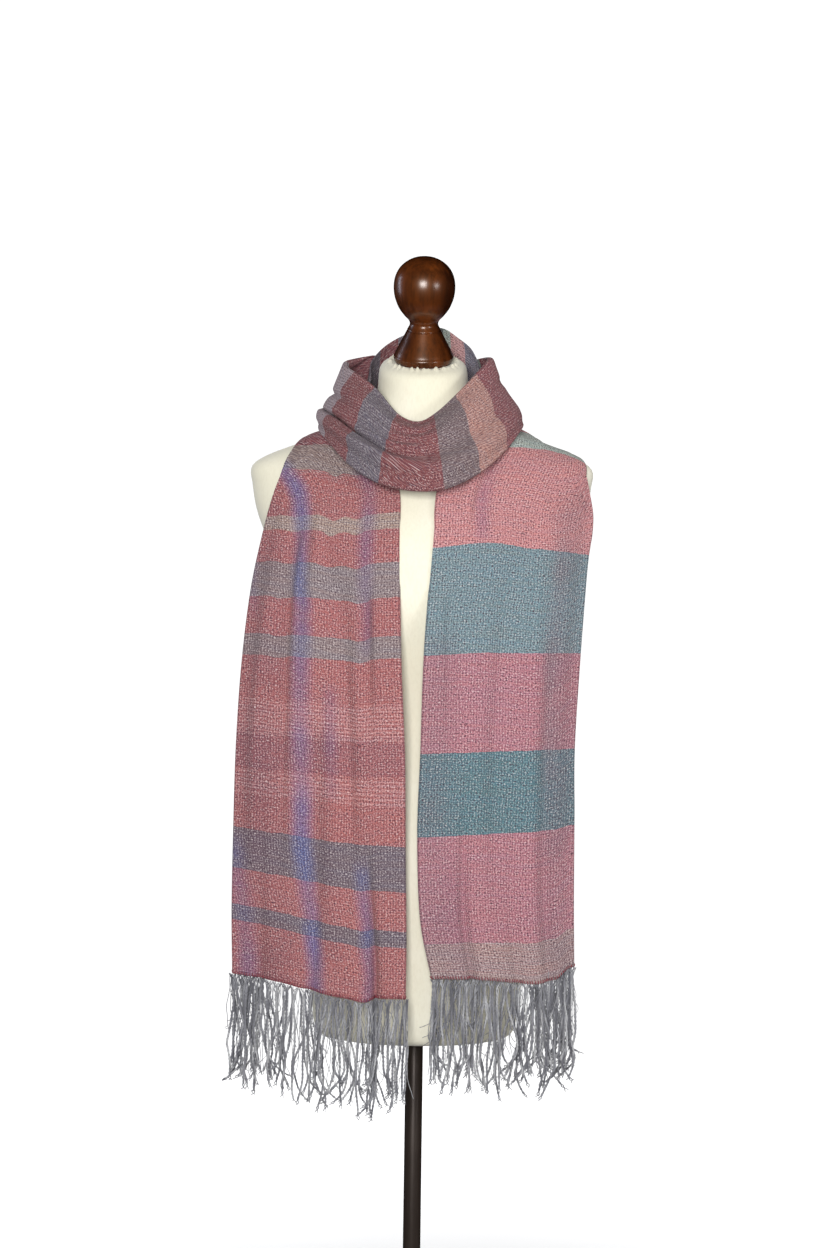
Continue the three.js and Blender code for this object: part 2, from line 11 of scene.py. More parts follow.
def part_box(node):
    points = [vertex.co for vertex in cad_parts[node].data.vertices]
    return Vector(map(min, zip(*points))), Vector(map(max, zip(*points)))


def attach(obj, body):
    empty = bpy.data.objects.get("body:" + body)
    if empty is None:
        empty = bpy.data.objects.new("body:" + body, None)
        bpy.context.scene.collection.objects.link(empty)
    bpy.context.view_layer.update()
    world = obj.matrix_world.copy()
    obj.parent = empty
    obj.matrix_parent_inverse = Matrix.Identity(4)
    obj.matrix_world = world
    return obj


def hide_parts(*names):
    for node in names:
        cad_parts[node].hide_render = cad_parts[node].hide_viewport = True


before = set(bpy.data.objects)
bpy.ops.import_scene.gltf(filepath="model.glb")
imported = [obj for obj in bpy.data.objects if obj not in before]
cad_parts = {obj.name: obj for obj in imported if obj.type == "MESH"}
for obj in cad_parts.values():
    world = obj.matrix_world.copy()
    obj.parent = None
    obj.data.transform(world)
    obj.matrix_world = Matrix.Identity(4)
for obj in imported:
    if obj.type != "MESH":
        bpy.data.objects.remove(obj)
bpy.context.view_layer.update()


# Dress form. A padded torso and neck in one piece, covered with cream cotton jersey, which
# is sewn up the middle of the back and gathered under the neck cap.
FORM_RINGS = [  # height, half width, depth in front of and behind the axis of the pole
    (0.515, 0.098, 0.076, 0.076),
    (0.520, 0.108, 0.085, 0.086),
    (0.532, 0.113, 0.090, 0.092),
    (0.560, 0.116, 0.093, 0.097),
    (0.630, 0.134, 0.101, 0.110),
    (0.710, 0.147, 0.106, 0.117),
    (0.790, 0.138, 0.099, 0.104),
    (0.875, 0.121, 0.090, 0.086),
    (0.945, 0.130, 0.101, 0.091),
    (1.010, 0.150, 0.118, 0.102),
    (1.060, 0.169, 0.110, 0.106),
    (1.100, 0.184, 0.093, 0.104),
    (1.130, 0.1895, 0.079, 0.096),
    (1.150, 0.190, 0.067, 0.084),
    (1.1625, 0.172, 0.060, 0.076),
    (1.177, 0.134, 0.055, 0.068),
    (1.193, 0.092, 0.052, 0.061),
    (1.210, 0.065, 0.050, 0.055),
    (1.230, 0.053, 0.049, 0.050),
    (1.250, 0.050, 0.049, 0.049),
    (1.300, 0.049, 0.049, 0.049),
]
FORM_ROUNDNESS = 2.2
FORM_AROUND = 192
FORM_FOOT = 0.515
FORM_SHOULDER = 1.207
RING_STEPS = [  # height up to which the rings lie this far apart
    (0.54, 0.003), (1.12, 0.008), (FORM_SHOULDER, 0.004),
]
UNDERSIDE_RINGS = [  # share of the foot's width, height above the foot
    (0.3, 0), (0.6, 0), (0.85, 0), (0.95, 0.0004), (0.985, 0.0015),
]
NECK_PLATE_HEIGHT = 1.268
NECK_LEAN = math.radians(20)
NECK_RADIUS = 0.049
LEAN_STARTS = 0.060
NECK_RIM = [  # depth below the plate, inset from the neck's side
    (0.06, 0), (0.053, 0), (0.046, 0), (0.04, 0), (0.034, 0), (0.028, 0), (0.022, 0), (0.017, 0),
    (0.012, 0), (0.008, 0.0005), (0.005, 0.0015), (0.0028, 0.003), (0.0013, 0.005), (0.0004, 0.0075),
    (0, 0.01), (0, 0.0115), (0, 0.013), (0, 0.0145), (0, 0.017), (0, 0.03), (0, 0.048),
]
GATHERS = 31
GATHER_HEIGHT = 0.0048
GATHER_INSET = 0.0118
GATHER_SPREAD = 0.0028
SEAM_STITCH = 0.004
SEAM_HALF_WIDTH = 0.0022
SEAM_BEHIND = 0.03


def smooth_between(places, values, at):
    """Smooth curve through a table's column, with slopes taken over both neighbours."""
    places, values = np.asarray(places, float), np.asarray(values, float)
    at = np.atleast_1d(np.asarray(at, float))
    last = len(places) - 1
    before, after = np.maximum(np.arange(last + 1) - 1, 0), np.minimum(np.arange(last + 1) + 1, last)
    wide = (-1,) + (1,) * (values.ndim - 1)
    slope = (values[after] - values[before]) / (places[after] - places[before]).reshape(wide)
    k = np.clip(np.searchsorted(places, at, side="left") - 1, 0, last - 1)
    span = (places[k + 1] - places[k]).reshape(wide)
    t = np.clip((at - places[k]) / (places[k + 1] - places[k]), 0, 1).reshape(wide)
    start, end = t * (1 - t) ** 2 * span * slope[k], t**2 * (t - 1) * span * slope[k + 1]
    return values[k] + (values[k + 1] - values[k]) * t**2 * (3 - 2 * t) + start + end


def form_sizes(height):
    """Half width, front depth and back depth of the form at each height."""
    heights = [ring[0] for ring in FORM_RINGS]
    sizes = smooth_between(heights, [ring[1:] for ring in FORM_RINGS], np.ravel(height))
    return sizes.reshape(np.shape(height) + (3,))


def dyed(colour):
    """A colour given as red, green and blue from 0 to 255 on the screen."""
    parts = [c / 255 for c in colour]
    return tuple(c / 12.92 if c <= 0.04045 else ((c + 0.055) / 1.055) ** 2.4 for c in parts) + (1.0,)


def new_piece(name, points, faces, material):
    """A smooth mesh object on the one body of the part."""
    mesh = bpy.data.meshes.new(name)
    mesh.from_pydata([tuple(map(float, p)) for p in points], [], faces)
    mesh.update()
    mesh.polygons.foreach_set("use_smooth", [True] * len(mesh.polygons))
    piece = bpy.data.objects.new(name, mesh)
    bpy.context.scene.collection.objects.link(piece)
    mesh.materials.append(material)
    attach(piece, "root")
    return piece


def lofted(rings):
    """Points and faces of a closed skin through rings, with the first and last ring capped."""
    around = len(rings[0])
    points = [p for ring in rings for p in ring]
    faces = []
    for k in range(len(rings) - 1):
        for i in range(around):
            a, b = k * around + i, k * around + (i + 1) % around
            faces.append((a, b, b + around, a + around))
    faces.append(tuple(reversed(range(around))))
    faces.append(tuple(range((len(rings) - 1) * around, len(rings) * around)))
    return points, faces


def form_ring(half_width, front, back, height_at):
    """One softly squared ring of the form. height_at gives the height at each place."""
    soften = 2 / FORM_ROUNDNESS
    ring = []
    for i in range(FORM_AROUND):
        turn = 2 * math.pi * i / FORM_AROUND
        c, s = math.cos(turn), math.sin(turn)
        x = half_width * math.copysign(abs(c) ** soften, c)
        y = (front if s < 0 else back) * math.copysign(abs(s) ** soften, s)
        ring.append((x, y, height_at(x, y)))
    return ring


class Finish:
    """A material whose nodes are made and linked with short calls."""

    def __init__(self, name):
        self.material = bpy.data.materials.new(name)
        self.material.use_nodes = True
        self.tree = self.material.node_tree
        self.shader = self.tree.nodes["Principled BSDF"]

    def node(self, kind, inputs=(), **settings):
        made = self.tree.nodes.new("ShaderNode" + kind)
        for name, value in settings.items():
            setattr(made, name, value)
        for name, value in dict(inputs).items():
            self.feed(made.inputs[name], value)
        return made

    def feed(self, socket, value):
        if isinstance(value, bpy.types.NodeSocket):
            self.tree.links.new(value, socket)
        else:
            socket.default_value = value

    def math(self, operation, a, b=0.0, c=0.0):
        return self.node("Math", {0: a, 1: b, 2: c}, operation=operation).outputs[0]

    def times(self, a, b):
        return self.math("MULTIPLY", a, b)

    def mix(self, factor, a, b, blend="MIX"):
        made = self.node("Mix", data_type="RGBA", blend_type=blend)
        self.feed(made.inputs[0], factor)
        self.feed(made.inputs[6], a)
        self.feed(made.inputs[7], b)
        return made.outputs[2]

    def noise(self, where, scale, detail=2.0, roughness=0.5, stretch=(1, 1, 1)):
        if stretch != (1, 1, 1):
            where = self.node("Mapping", {"Vector": where, "Scale": stretch}).outputs[0]
        inputs = {"Vector": where, "Scale": scale, "Detail": detail, "Roughness": roughness}
        return self.node("TexNoise", inputs).outputs[0]

    def ramp(self, factor, stops, kind="LINEAR"):
        made = self.node("ValToRGB", {0: factor})
        band = made.color_ramp
        band.interpolation = kind
        while len(band.elements) > 1:
            band.elements.remove(band.elements[-1])
        for k, (place, colour) in enumerate(stops):
            element = band.elements[0] if k == 0 else band.elements.new(place)
            element.position = place
            element.color = colour
        return made.outputs[0]

    def between(self, value, low, high, to_low=0.0, to_high=1.0):
        """A soft step from to_low to to_high, while the value goes from low to high."""
        inputs = {"Value": value, "From Min": low, "From Max": high, "To Min": to_low, "To Max": to_high}
        return self.node("MapRange", inputs, interpolation_type="SMOOTHSTEP").outputs[0]

    def place(self):
        return self.node("TexCoord").outputs["Object"]

    def bump(self, height, strength, distance):
        return self.node("Bump", {"Height": height, "Strength": strength, "Distance": distance}).outputs[0]

    def surface(self, **values):
        for name, value in values.items():
            self.feed(self.shader.inputs[name.replace("_", " ").title().replace("Ior", "IOR")], value)


def cream_jersey():
    """Fine cotton knit: rows of loops, a few slubs, an uneven tone and a seam up the back."""
    finish = Finish("cream_jersey")
    place = finish.place()
    cloud = finish.noise(place, 9, 3)
    slub = finish.noise(place, 420, 2, 0.6, (1, 1, 0.35))
    colour = finish.mix(finish.between(cloud, 0.3, 0.7), dyed((236, 231, 208)), dyed((242, 238, 220)))
    colour = finish.mix(finish.between(slub, 0.35, 0.8, 0, 0.22), colour, dyed((214, 205, 180)))
    rows = finish.node("TexWave", {"Vector": place, "Scale": 330, "Distortion": 1.2, "Detail": 1.0},
                       wave_type="BANDS", bands_direction="X").outputs[1]
    height = finish.math("MULTIPLY_ADD", rows, 0.6, slub)
    aside, backward, upward = finish.node("SeparateXYZ", {0: place}).outputs
    stitch = finish.math("SINE", finish.times(upward, 2 * math.pi / SEAM_STITCH))
    groove = finish.between(finish.math("ABSOLUTE", aside), 0.0, SEAM_HALF_WIDTH, 1, 0)
    groove = finish.times(groove, finish.between(stitch, -1, 1, 0.6, 1))
    groove = finish.times(groove, finish.math("GREATER_THAN", backward, SEAM_BEHIND))
    colour = finish.mix(finish.times(groove, 0.3), colour, dyed((176, 166, 140)))
    height = finish.math("MULTIPLY_ADD", groove, -5.0, height)
    finish.surface(base_color=colour, roughness=0.92, sheen_weight=0.25, sheen_roughness=0.5,
                   normal=finish.bump(height, 0.25, 0.0003))
    return finish.material


def leaning_ring(below, inset):
    """Ring of the neck. The rings lean more and more towards the plate, up which they end."""
    level = NECK_PLATE_HEIGHT - below
    t = min(1, below / LEAN_STARTS)
    lean = math.tan(NECK_LEAN) * (1 - t * t * (3 - 2 * t))
    gathered = math.exp(-(((inset - GATHER_INSET) / GATHER_SPREAD) ** 2))
    half_width, front, back = form_sizes(level)

    def height_at(x, y):
        turn = math.atan2(y, x)
        wave = 0.5 + 0.5 * math.sin(GATHERS * turn + 2.5 * math.sin(3 * turn)) * math.sin(5 * turn + 1)
        return level + y * lean + GATHER_HEIGHT * gathered * wave

    ring = []
    for x, y, z in form_ring(half_width, front, back, height_at):
        there = form_sizes(min(z, FORM_RINGS[-1][0]))
        depth_ratio = there[1] / front if y < 0 else there[2] / back
        inward = 1 - inset / NECK_RADIUS
        x, y = x * there[0] / half_width * inward, y * depth_ratio * inward
        ring.append((x, y, height_at(x, y)))
    return ring


def dress_form():
    rings = []
    for share, rise in UNDERSIDE_RINGS:
        rings.append(form_ring(*(form_sizes(FORM_FOOT) * share), lambda x, y: FORM_FOOT + rise))
    height = FORM_FOOT + RING_STEPS[0][1]
    for top, step in RING_STEPS:
        while height < top:
            rings.append(form_ring(*form_sizes(height), lambda x, y: height))
            height += step
    for below, inset in NECK_RIM:
        rings.append(leaning_ring(below, inset))
    piece = new_piece("dress_form", *lofted(rings), cream_jersey())
    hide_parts("form")


dress_form()


# Neck cap. A ball on a cone, turned in one piece of dark wood and polished. It stands on the
# leaning neck plate and closes the jersey cover.
CAP_PROFILE = [  # radius and height along the leaning axis
    (0.0, 0.0003), (0.0285, 0.0003), (0.0309, 0.0010), (0.0323, 0.0026), (0.0332, 0.0050),
    (0.0337, 0.0076), (0.0325, 0.0102), (0.0308, 0.0140), (0.0250, 0.0250), (0.0199, 0.0350),
    (0.0192, 0.0363), (0.0184, 0.0367), (0.0184, 0.0373), (0.0186, 0.0380), (0.0162, 0.0425),
    (0.0159, 0.0455), (0.0176, 0.0492), (0.0226, 0.0545), (0.0286, 0.0630), (0.0329, 0.0745),
    (0.0342, 0.0858), (0.0327, 0.0966), (0.0281, 0.1060), (0.0204, 0.1133), (0.0108, 0.1179),
    (0.0, 0.1193),
]
CAP_SIDES = 96
CAP_STEPS = 6


def spun(profile, sides):
    """Points and faces of a profile spun round the upright axis, on which it begins."""
    points = [(0.0, 0.0, profile[0][1])]
    for radius, height in profile[1:]:
        for i in range(sides):
            turn = 2 * math.pi * i / sides
            points.append((max(radius, 0) * math.cos(turn), max(radius, 0) * math.sin(turn), height))
    faces = [(0, 1 + (i + 1) % sides, 1 + i) for i in range(sides)]
    for k in range(len(profile) - 2):
        for i in range(sides):
            a, b = 1 + k * sides + i, 1 + k * sides + (i + 1) % sides
            faces.append((a, b, b + sides, a + sides))
    return points, faces


def turned(profile, sides, steps):
    """Points and faces of a closed turned piece, with a smooth curve through its profile."""
    at = np.linspace(0, len(profile) - 1, (len(profile) - 1) * steps + 1)
    curve = smooth_between(np.arange(len(profile)), profile, at)
    points, faces = spun(curve[:-1], sides)
    top, last = len(points), len(points) - sides
    points.append((0.0, 0.0, curve[-1][1]))
    faces += [(last + i, last + (i + 1) % sides, top) for i in range(sides)]
    return points, faces


def polished_dark_wood():
    """Dark stained beech with long fine grain under a clear polish."""
    finish = Finish("polished_dark_wood")
    place = finish.node("Mapping", {"Vector": finish.place(), "Rotation": (-NECK_LEAN, 0, 0)}).outputs[0]
    broad = finish.noise(place, 16, 4, 0.6, (1, 1, 0.22))
    fine = finish.noise(place, 240, 4, 0.7, (1, 1, 0.06))
    colour = finish.ramp(broad, [(0.3, dyed((20, 7, 3))), (0.48, dyed((50, 19, 6))),
                                 (0.7, dyed((110, 53, 13)))])
    colour = finish.mix(finish.between(fine, 0.42, 0.68, 0, 0.5), colour, dyed((22, 9, 4)))
    finish.surface(base_color=colour, roughness=0.45, specular_ior_level=0.45,
                   specular_tint=(1.0, 0.42, 0.1, 1.0), coat_weight=0.85, coat_roughness=0.26,
                   coat_ior=1.6, normal=finish.bump(fine, 0.12, 0.0002))
    return finish.material


def neck_cap():
    points, faces = turned(CAP_PROFILE, CAP_SIDES, CAP_STEPS)
    lean = Matrix.Translation((0, 0, NECK_PLATE_HEIGHT)) @ Matrix.Rotation(NECK_LEAN, 4, "X")
    piece = new_piece("turned_neck_cap", [lean @ Vector(p) for p in points], faces, polished_dark_wood())
    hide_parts("neck_cap")


neck_cap()


# Pole and base. A steel tube that goes up into the form, and a flat round steel plate that
# carries it, both with a dark satin finish.
POLE_RADIUS = 0.0098
POLE_EDGE = 0.0008
POLE_SIDES = 64
BASE_RADIUS = 0.170
BASE_THICKNESS = 0.009
BASE_EDGE = 0.002
BASE_SIDES = 160
CORNER = 0.0003


def dark_satin_metal():
    """Brown-black coated steel with fine marks along it."""
    finish = Finish("dark_satin_metal")
    place = finish.place()
    marks = finish.noise(place, 700, 3, 0.6, (1, 1, 0.05))
    cloud = finish.noise(place, 30, 3)
    colour = finish.mix(cloud, dyed((52, 43, 38)), dyed((62, 52, 46)))
    colour = finish.mix(finish.between(marks, 0.5, 0.8, 0, 0.25), colour, dyed((92, 82, 76)))
    finish.surface(base_color=colour, metallic=0.4, roughness=finish.between(cloud, 0.2, 0.8, 0.36, 0.4),
                   normal=finish.bump(marks, 0.1, 0.0001))
    return finish.material


def straight_profile(corners):
    """Doubles each corner of a profile, so that a smooth curve through it keeps its edges."""
    out = [corners[0]]
    for k in range(1, len(corners) - 1):
        here = np.array(corners[k], float)
        for other in (corners[k - 1], corners[k + 1]):
            way = np.array(other, float) - here
            out.append(tuple(here + way * min(CORNER / np.linalg.norm(way), 0.4)))
    out.append(corners[-1])
    return out


def pole_and_base():
    metal = dark_satin_metal()
    foot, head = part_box("pole")[0][2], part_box("pole")[1][2]
    edge, r = POLE_EDGE, POLE_RADIUS
    corners = [(0, foot), (r - edge, foot), (r, foot + edge), (r, head - edge), (r - edge, head), (0, head)]
    pole = new_piece("stand_pole", *turned(straight_profile(corners), POLE_SIDES, 1), metal)
    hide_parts("pole")
    rim, top = BASE_RADIUS, BASE_THICKNESS
    corners = [(0, 0), (rim - BASE_EDGE / 2, 0), (rim, BASE_EDGE / 2), (rim, top - BASE_EDGE),
               (rim - BASE_EDGE, top), (0, top)]
    base = new_piece("stand_base", *turned(straight_profile(corners), BASE_SIDES, 1), metal)
    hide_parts("base")


pole_and_base()


# Scarf cloth. One soft woven length, 2.35 m long and 0.26 m wide, with weft bands in two
# different orders and a few blurred warp stripes. Its drape is given as a table of weft lines
# for each stretch, with troughs and ridges laid over it.
# Some of its colour is painted light and shade: dark stripes along folds and edges, darker bands low on the
# tails, a lighter band behind the neck and a blue outer edge near the left hem.
CLOTH = 0.0016
REST = 0.0020  # from the form to the middle of the cloth
LAYER = 0.0037  # added by a layer of cloth beneath
REST_ROUNDS = 8
MOST_PUSH = 0.012
SLOPE_PROBE = 0.0005
LINES_PER_ROW = 12
ACROSS_IN, ACROSS, ACROSS_OUT = 9, 60, 12
BEND_POINTS = 6
TURN_RADIUS = 0.0029
FULL_TURN_WIDTH = 0.009
BROW_AT, BROW_SPREAD = 0.33, 0.24
ROLL_AT, ROLL_SPREAD = 0.8, 0.19
CREASE_SPREAD = 0.06
DIP_AT, DIP_SPREAD = 0.35, 0.3
HELD_EDGE = 0.12
HEM_DROP = 0.014
HEM_DROP_AT, HEM_DROP_SPREAD, HEM_DROP_ROWS = 0.76, 0.30, 3.2
FOLD_WANDER = 0.012
SAG_ASIDE, SAG_SPREAD, SAG_SOFTNESS = 0.05, 0.06, 0.018
# Loop: angle from the front towards +X, then the upper and lower edge as radius and height,
# then brow, roll, crease, where the crease is, and the widths turned back at both edges
COWL_ROWS = [
    (-138, (0.074, 1.280), (0.082, 1.228), 0.001, 0, 0, 0.6, 0, 0),
    (-125, (0.080, 1.276), (0.090, 1.218), 0.001, 0, 0, 0.6, 0.006, 0),
    (-112, (0.086, 1.272), (0.101, 1.211), 0.001, 0.001, 0, 0.6, 0.012, 0.002),
    (-94, (0.090, 1.266), (0.113, 1.1995), 0, 0.006, 0.002, 0.7, 0.016, 0.006),
    (-78, (0.089, 1.257), (0.117, 1.191), 0.002, 0.008, 0.005, 0.66, 0.018, 0.008),
    (-60, (0.083, 1.246), (0.117, 1.175), 0.007, 0.01, 0.006, 0.62, 0.018, 0.009),
    (-42, (0.077, 1.229), (0.118, 1.151), 0.013, 0.013, 0.007, 0.54, 0.018, 0.01),
    (-22, (0.073, 1.202), (0.122, 1.130), 0.015, 0.014, 0.006, 0.44, 0.018, 0.01),
    (-4, (0.072, 1.194), (0.123, 1.122), 0.015, 0.013, 0.002, 0.42, 0.018, 0.01),
    (12, (0.072, 1.204), (0.123, 1.125), 0.013, 0.012, 0, 0.4, 0.018, 0.01),
    (32, (0.073, 1.226), (0.119, 1.144), 0.011, 0.011, 0, 0.4, 0.018, 0.01),
    (52, (0.075, 1.248), (0.114, 1.169), 0.006, 0.008, 0, 0.4, 0.018, 0.008),
    (72, (0.078, 1.266), (0.112, 1.191), 0.001, 0.005, 0, 0.4, 0.016, 0.006),
    (90, (0.078, 1.272), (0.112, 1.201), -0.002, 0.003, 0, 0.4, 0.01, 0.004),
    (108, (0.078, 1.275), (0.113, 1.200), -0.001, 0.002, 0, 0.4, 0.004, 0.002),
]
NAPE_OUTER_ROWS = [
    (128, (0.079, 1.276), (0.119, 1.182), 0, 0.003, 0.002, 0.5, 0.002, 0),
    (150, (0.080, 1.275), (0.126, 1.156), 0, 0.003, 0.003, 0.5, 0, 0),
    (172, (0.083, 1.270), (0.132, 1.133), 0, 0.002, 0.003, 0.5, 0, 0),
    (192, (0.088, 1.259), (0.138, 1.122), 0, 0.002, 0.002, 0.5, 0, 0),
    (212, (0.093, 1.240), (0.146, 1.123), 0, 0.002, 0, 0.5, 0, 0),
    (230, (0.096, 1.220), (0.147, 1.141), 0, 0.001, 0, 0.5, 0, 0),
]
NAPE_INNER_ROWS = [
    (142, (0.063, 1.302), (0.117, 1.140), -0.015, -0.008, 0, 0.5, 0, 0),
    (160, (0.063, 1.314), (0.101, 1.142), -0.01, -0.006, 0.002, 0.6, 0, 0),
    (180, (0.061, 1.313), (0.091, 1.152), -0.007, -0.004, 0.003, 0.6, 0, 0),
    (200, (0.061, 1.306), (0.085, 1.168), -0.005, -0.003, 0.002, 0.6, 0, 0),
    (220, (0.062, 1.294), (0.080, 1.192), -0.003, -0.002, 0, 0.6, 0, 0),
    (236, (0.063, 1.281), (0.073, 1.211), -0.001, 0, 0, 0.6, 0, 0),
    (252, (0.062, 1.268), (0.069, 1.221), 0, 0, 0, 0.6, 0, 0),
    (272, (0.059, 1.250), (0.064, 1.222), 0, 0, 0, 0.6, 0, 0),
]
# Tails: the inner and outer edge as points, then brow, roll, crease, where the crease is, dip,
# and the widths turned back at both edges
TAIL_LEFT_ROWS = [
    ((-0.084, 0.036, 1.203), (-0.134, 0.062, 1.163), 0.002, 0.002, 0, 0.5, 0, 0, 0),
    ((-0.081, 0.008, 1.202), (-0.129, 0.012, 1.183), 0.001, 0.001, 0, 0.5, 0, 0, 0),
    ((-0.072, -0.030, 1.196), (-0.140, -0.029, 1.172), 0.002, 0.001, 0, 0.5, 0, 0, 0),
    ((-0.048, -0.062, 1.171), (-0.152, -0.047, 1.145), 0.004, 0.001, 0.002, 0.45, 0.003, 0, 0),
    ((-0.028, -0.086, 1.128), (-0.162, -0.056, 1.110), 0.006, 0.003, 0.003, 0.42, 0.006, 0.002, 0.003),
    ((-0.027, -0.107, 1.075), (-0.171, -0.064, 1.072), 0.007, 0.005, 0.004, 0.4, 0.007, 0.005, 0.009),
    ((-0.026, -0.122, 1.010), (-0.182, -0.076, 1.012), 0.004, 0.008, 0.004, 0.38, 0.005, 0.008, 0.018),
    ((-0.023, -0.126, 0.925), (-0.190, -0.087, 0.932), 0.002, 0.007, 0.003, 0.36, 0.004, 0.009, 0.027),
    ((-0.018, -0.127, 0.830), (-0.1945, -0.093, 0.842), 0.002, 0.006, 0.002, 0.34, 0.003, 0.009, 0.034),
    ((-0.016, -0.126, 0.725), (-0.196, -0.095, 0.745), 0.003, 0.005, 0.003, 0.26, 0.004, 0.009, 0.038),
    ((-0.014, -0.125, 0.640), (-0.1965, -0.095, 0.664), 0.004, 0.004, 0.005, 0.2, 0.006, 0.009, 0.04),
    ((-0.014, -0.124, 0.577), (-0.195, -0.094, 0.595), 0.005, 0.003, 0.006, 0.16, 0.009, 0.009, 0.04),
]
TAIL_RIGHT_ROWS = [
    ((0.053, 0.033, 1.288), (0.119, 0.075, 1.152), -0.022, -0.012, 0, 0.5, 0, 0, 0),
    ((0.060, 0.014, 1.271), (0.152, 0.044, 1.162), -0.032, -0.014, 0, 0.5, 0, 0, 0),
    ((0.060, -0.010, 1.254), (0.166, 0.008, 1.164), -0.03, -0.01, 0, 0.5, 0, 0, 0),
    ((0.054, -0.036, 1.222), (0.180, -0.026, 1.146), -0.014, -0.002, 0, 0.5, 0, 0, 0),
    ((0.040, -0.064, 1.178), (0.186, -0.042, 1.112), 0.002, 0.004, 0.002, 0.3, -0.003, 0, 0.001),
    ((0.021, -0.090, 1.122), (0.1855, -0.055, 1.082), 0.005, 0.005, 0.004, 0.28, -0.006, 0.004, 0.006),
    ((0.017, -0.108, 1.068), (0.180, -0.068, 1.046), 0.005, 0.007, 0.004, 0.27, -0.008, 0.008, 0.014),
    ((0.012, -0.123, 1.002), (0.1755, -0.080, 0.996), 0.004, 0.008, 0.002, 0.27, -0.004, 0.011, 0.026),
    ((0.008, -0.128, 0.930), (0.171, -0.090, 0.936), 0.004, 0.007, 0, 0.3, -0.002, 0.013, 0.038),
    ((0.006, -0.129, 0.834), (0.166, -0.096, 0.843), 0.005, 0.005, 0.001, 0.8, 0, 0.014, 0.046),
    ((0.004, -0.128, 0.753), (0.1665, -0.098, 0.768), 0.006, 0.005, 0.001, 0.81, 0.001, 0.014, 0.05),
    ((0.008, -0.126, 0.662), (0.167, -0.098, 0.680), 0.006, 0.004, 0.002, 0.83, 0.002, 0.014, 0.052),
    ((0.021, -0.122, 0.597), (0.1685, -0.096, 0.607), 0.006, 0.003, 0.002, 0.85, 0.003, 0.012, 0.052),
]


def form_reach(points):
    """Above 1 outside the form and below 1 inside it."""
    half_width, front, back = np.moveaxis(form_sizes(points[..., 2]), -1, 0)
    depth = np.where(points[..., 1] < 0, front, back)
    across = np.abs(points[..., 0] / half_width) ** FORM_ROUNDNESS
    along = np.abs(points[..., 1] / depth) ** FORM_ROUNDNESS
    return (across + along) ** (1 / FORM_ROUNDNESS)


def rest_on_form(points, clearance):
    """Moves points that lie too near the form out to the clearance, along the form's own slope."""
    points = points.copy()
    for _ in range(REST_ROUNDS):
        here = form_reach(points)
        probes = [form_reach(points + SLOPE_PROBE * way) for way in np.eye(3)]
        slope = np.stack([probe - here for probe in probes], -1) / SLOPE_PROBE
        steep = np.maximum(np.linalg.norm(slope, axis=-1), 1e-9)
        away = (here - 1) / steep
        push = np.clip(clearance - away, 0, MOST_PUSH)
        if push.max() < 1e-6:
            break
        points += slope / steep[..., None] * push[..., None]
    return points


def hump(at, centre, spread):
    """A soft rise to 1 at the centre."""
    return np.exp(-(((at - centre) / spread) ** 2))


def loop_rows(rows):
    """Rows of the loop in the form of the tails' rows: polar edges become points, with no dip."""
    out = []
    for angle, lip, foot, brow, roll, crease, crease_at, turn_in, turn_out in rows:
        s, c = math.sin(math.radians(angle)), math.cos(math.radians(angle))
        inner, outer = ((r * s, -r * c, z) for r, z in (lip, foot))
        out.append((inner, outer, brow, roll, crease, crease_at, 0.0, turn_in, turn_out))
    return out


def turned_edge(edge, way, outward, width, count):
    """Cloth turned back behind an edge, first round a small bend and then flat."""
    bend = np.pi * np.minimum(1, width / FULL_TURN_WIDTH)
    arc = TURN_RADIUS * bend
    in_bend = np.minimum(arc, width)
    points = []
    for i in range(1, count + 1):
        share = min(i / BEND_POINTS, 1)
        walked = in_bend * share + (width - in_bend) * max(i - BEND_POINTS, 0) / (count - BEND_POINTS)
        angle = bend * np.minimum(1, walked / np.maximum(arc, 1e-6))
        straight = np.maximum(0, walked - arc)
        sideways = TURN_RADIUS * np.sin(angle) + straight * np.cos(angle)
        behind = TURN_RADIUS * (1 - np.cos(angle)) + straight * np.sin(angle)
        points.append(edge + way * sideways[:, None] - outward * behind[:, None])
    return points


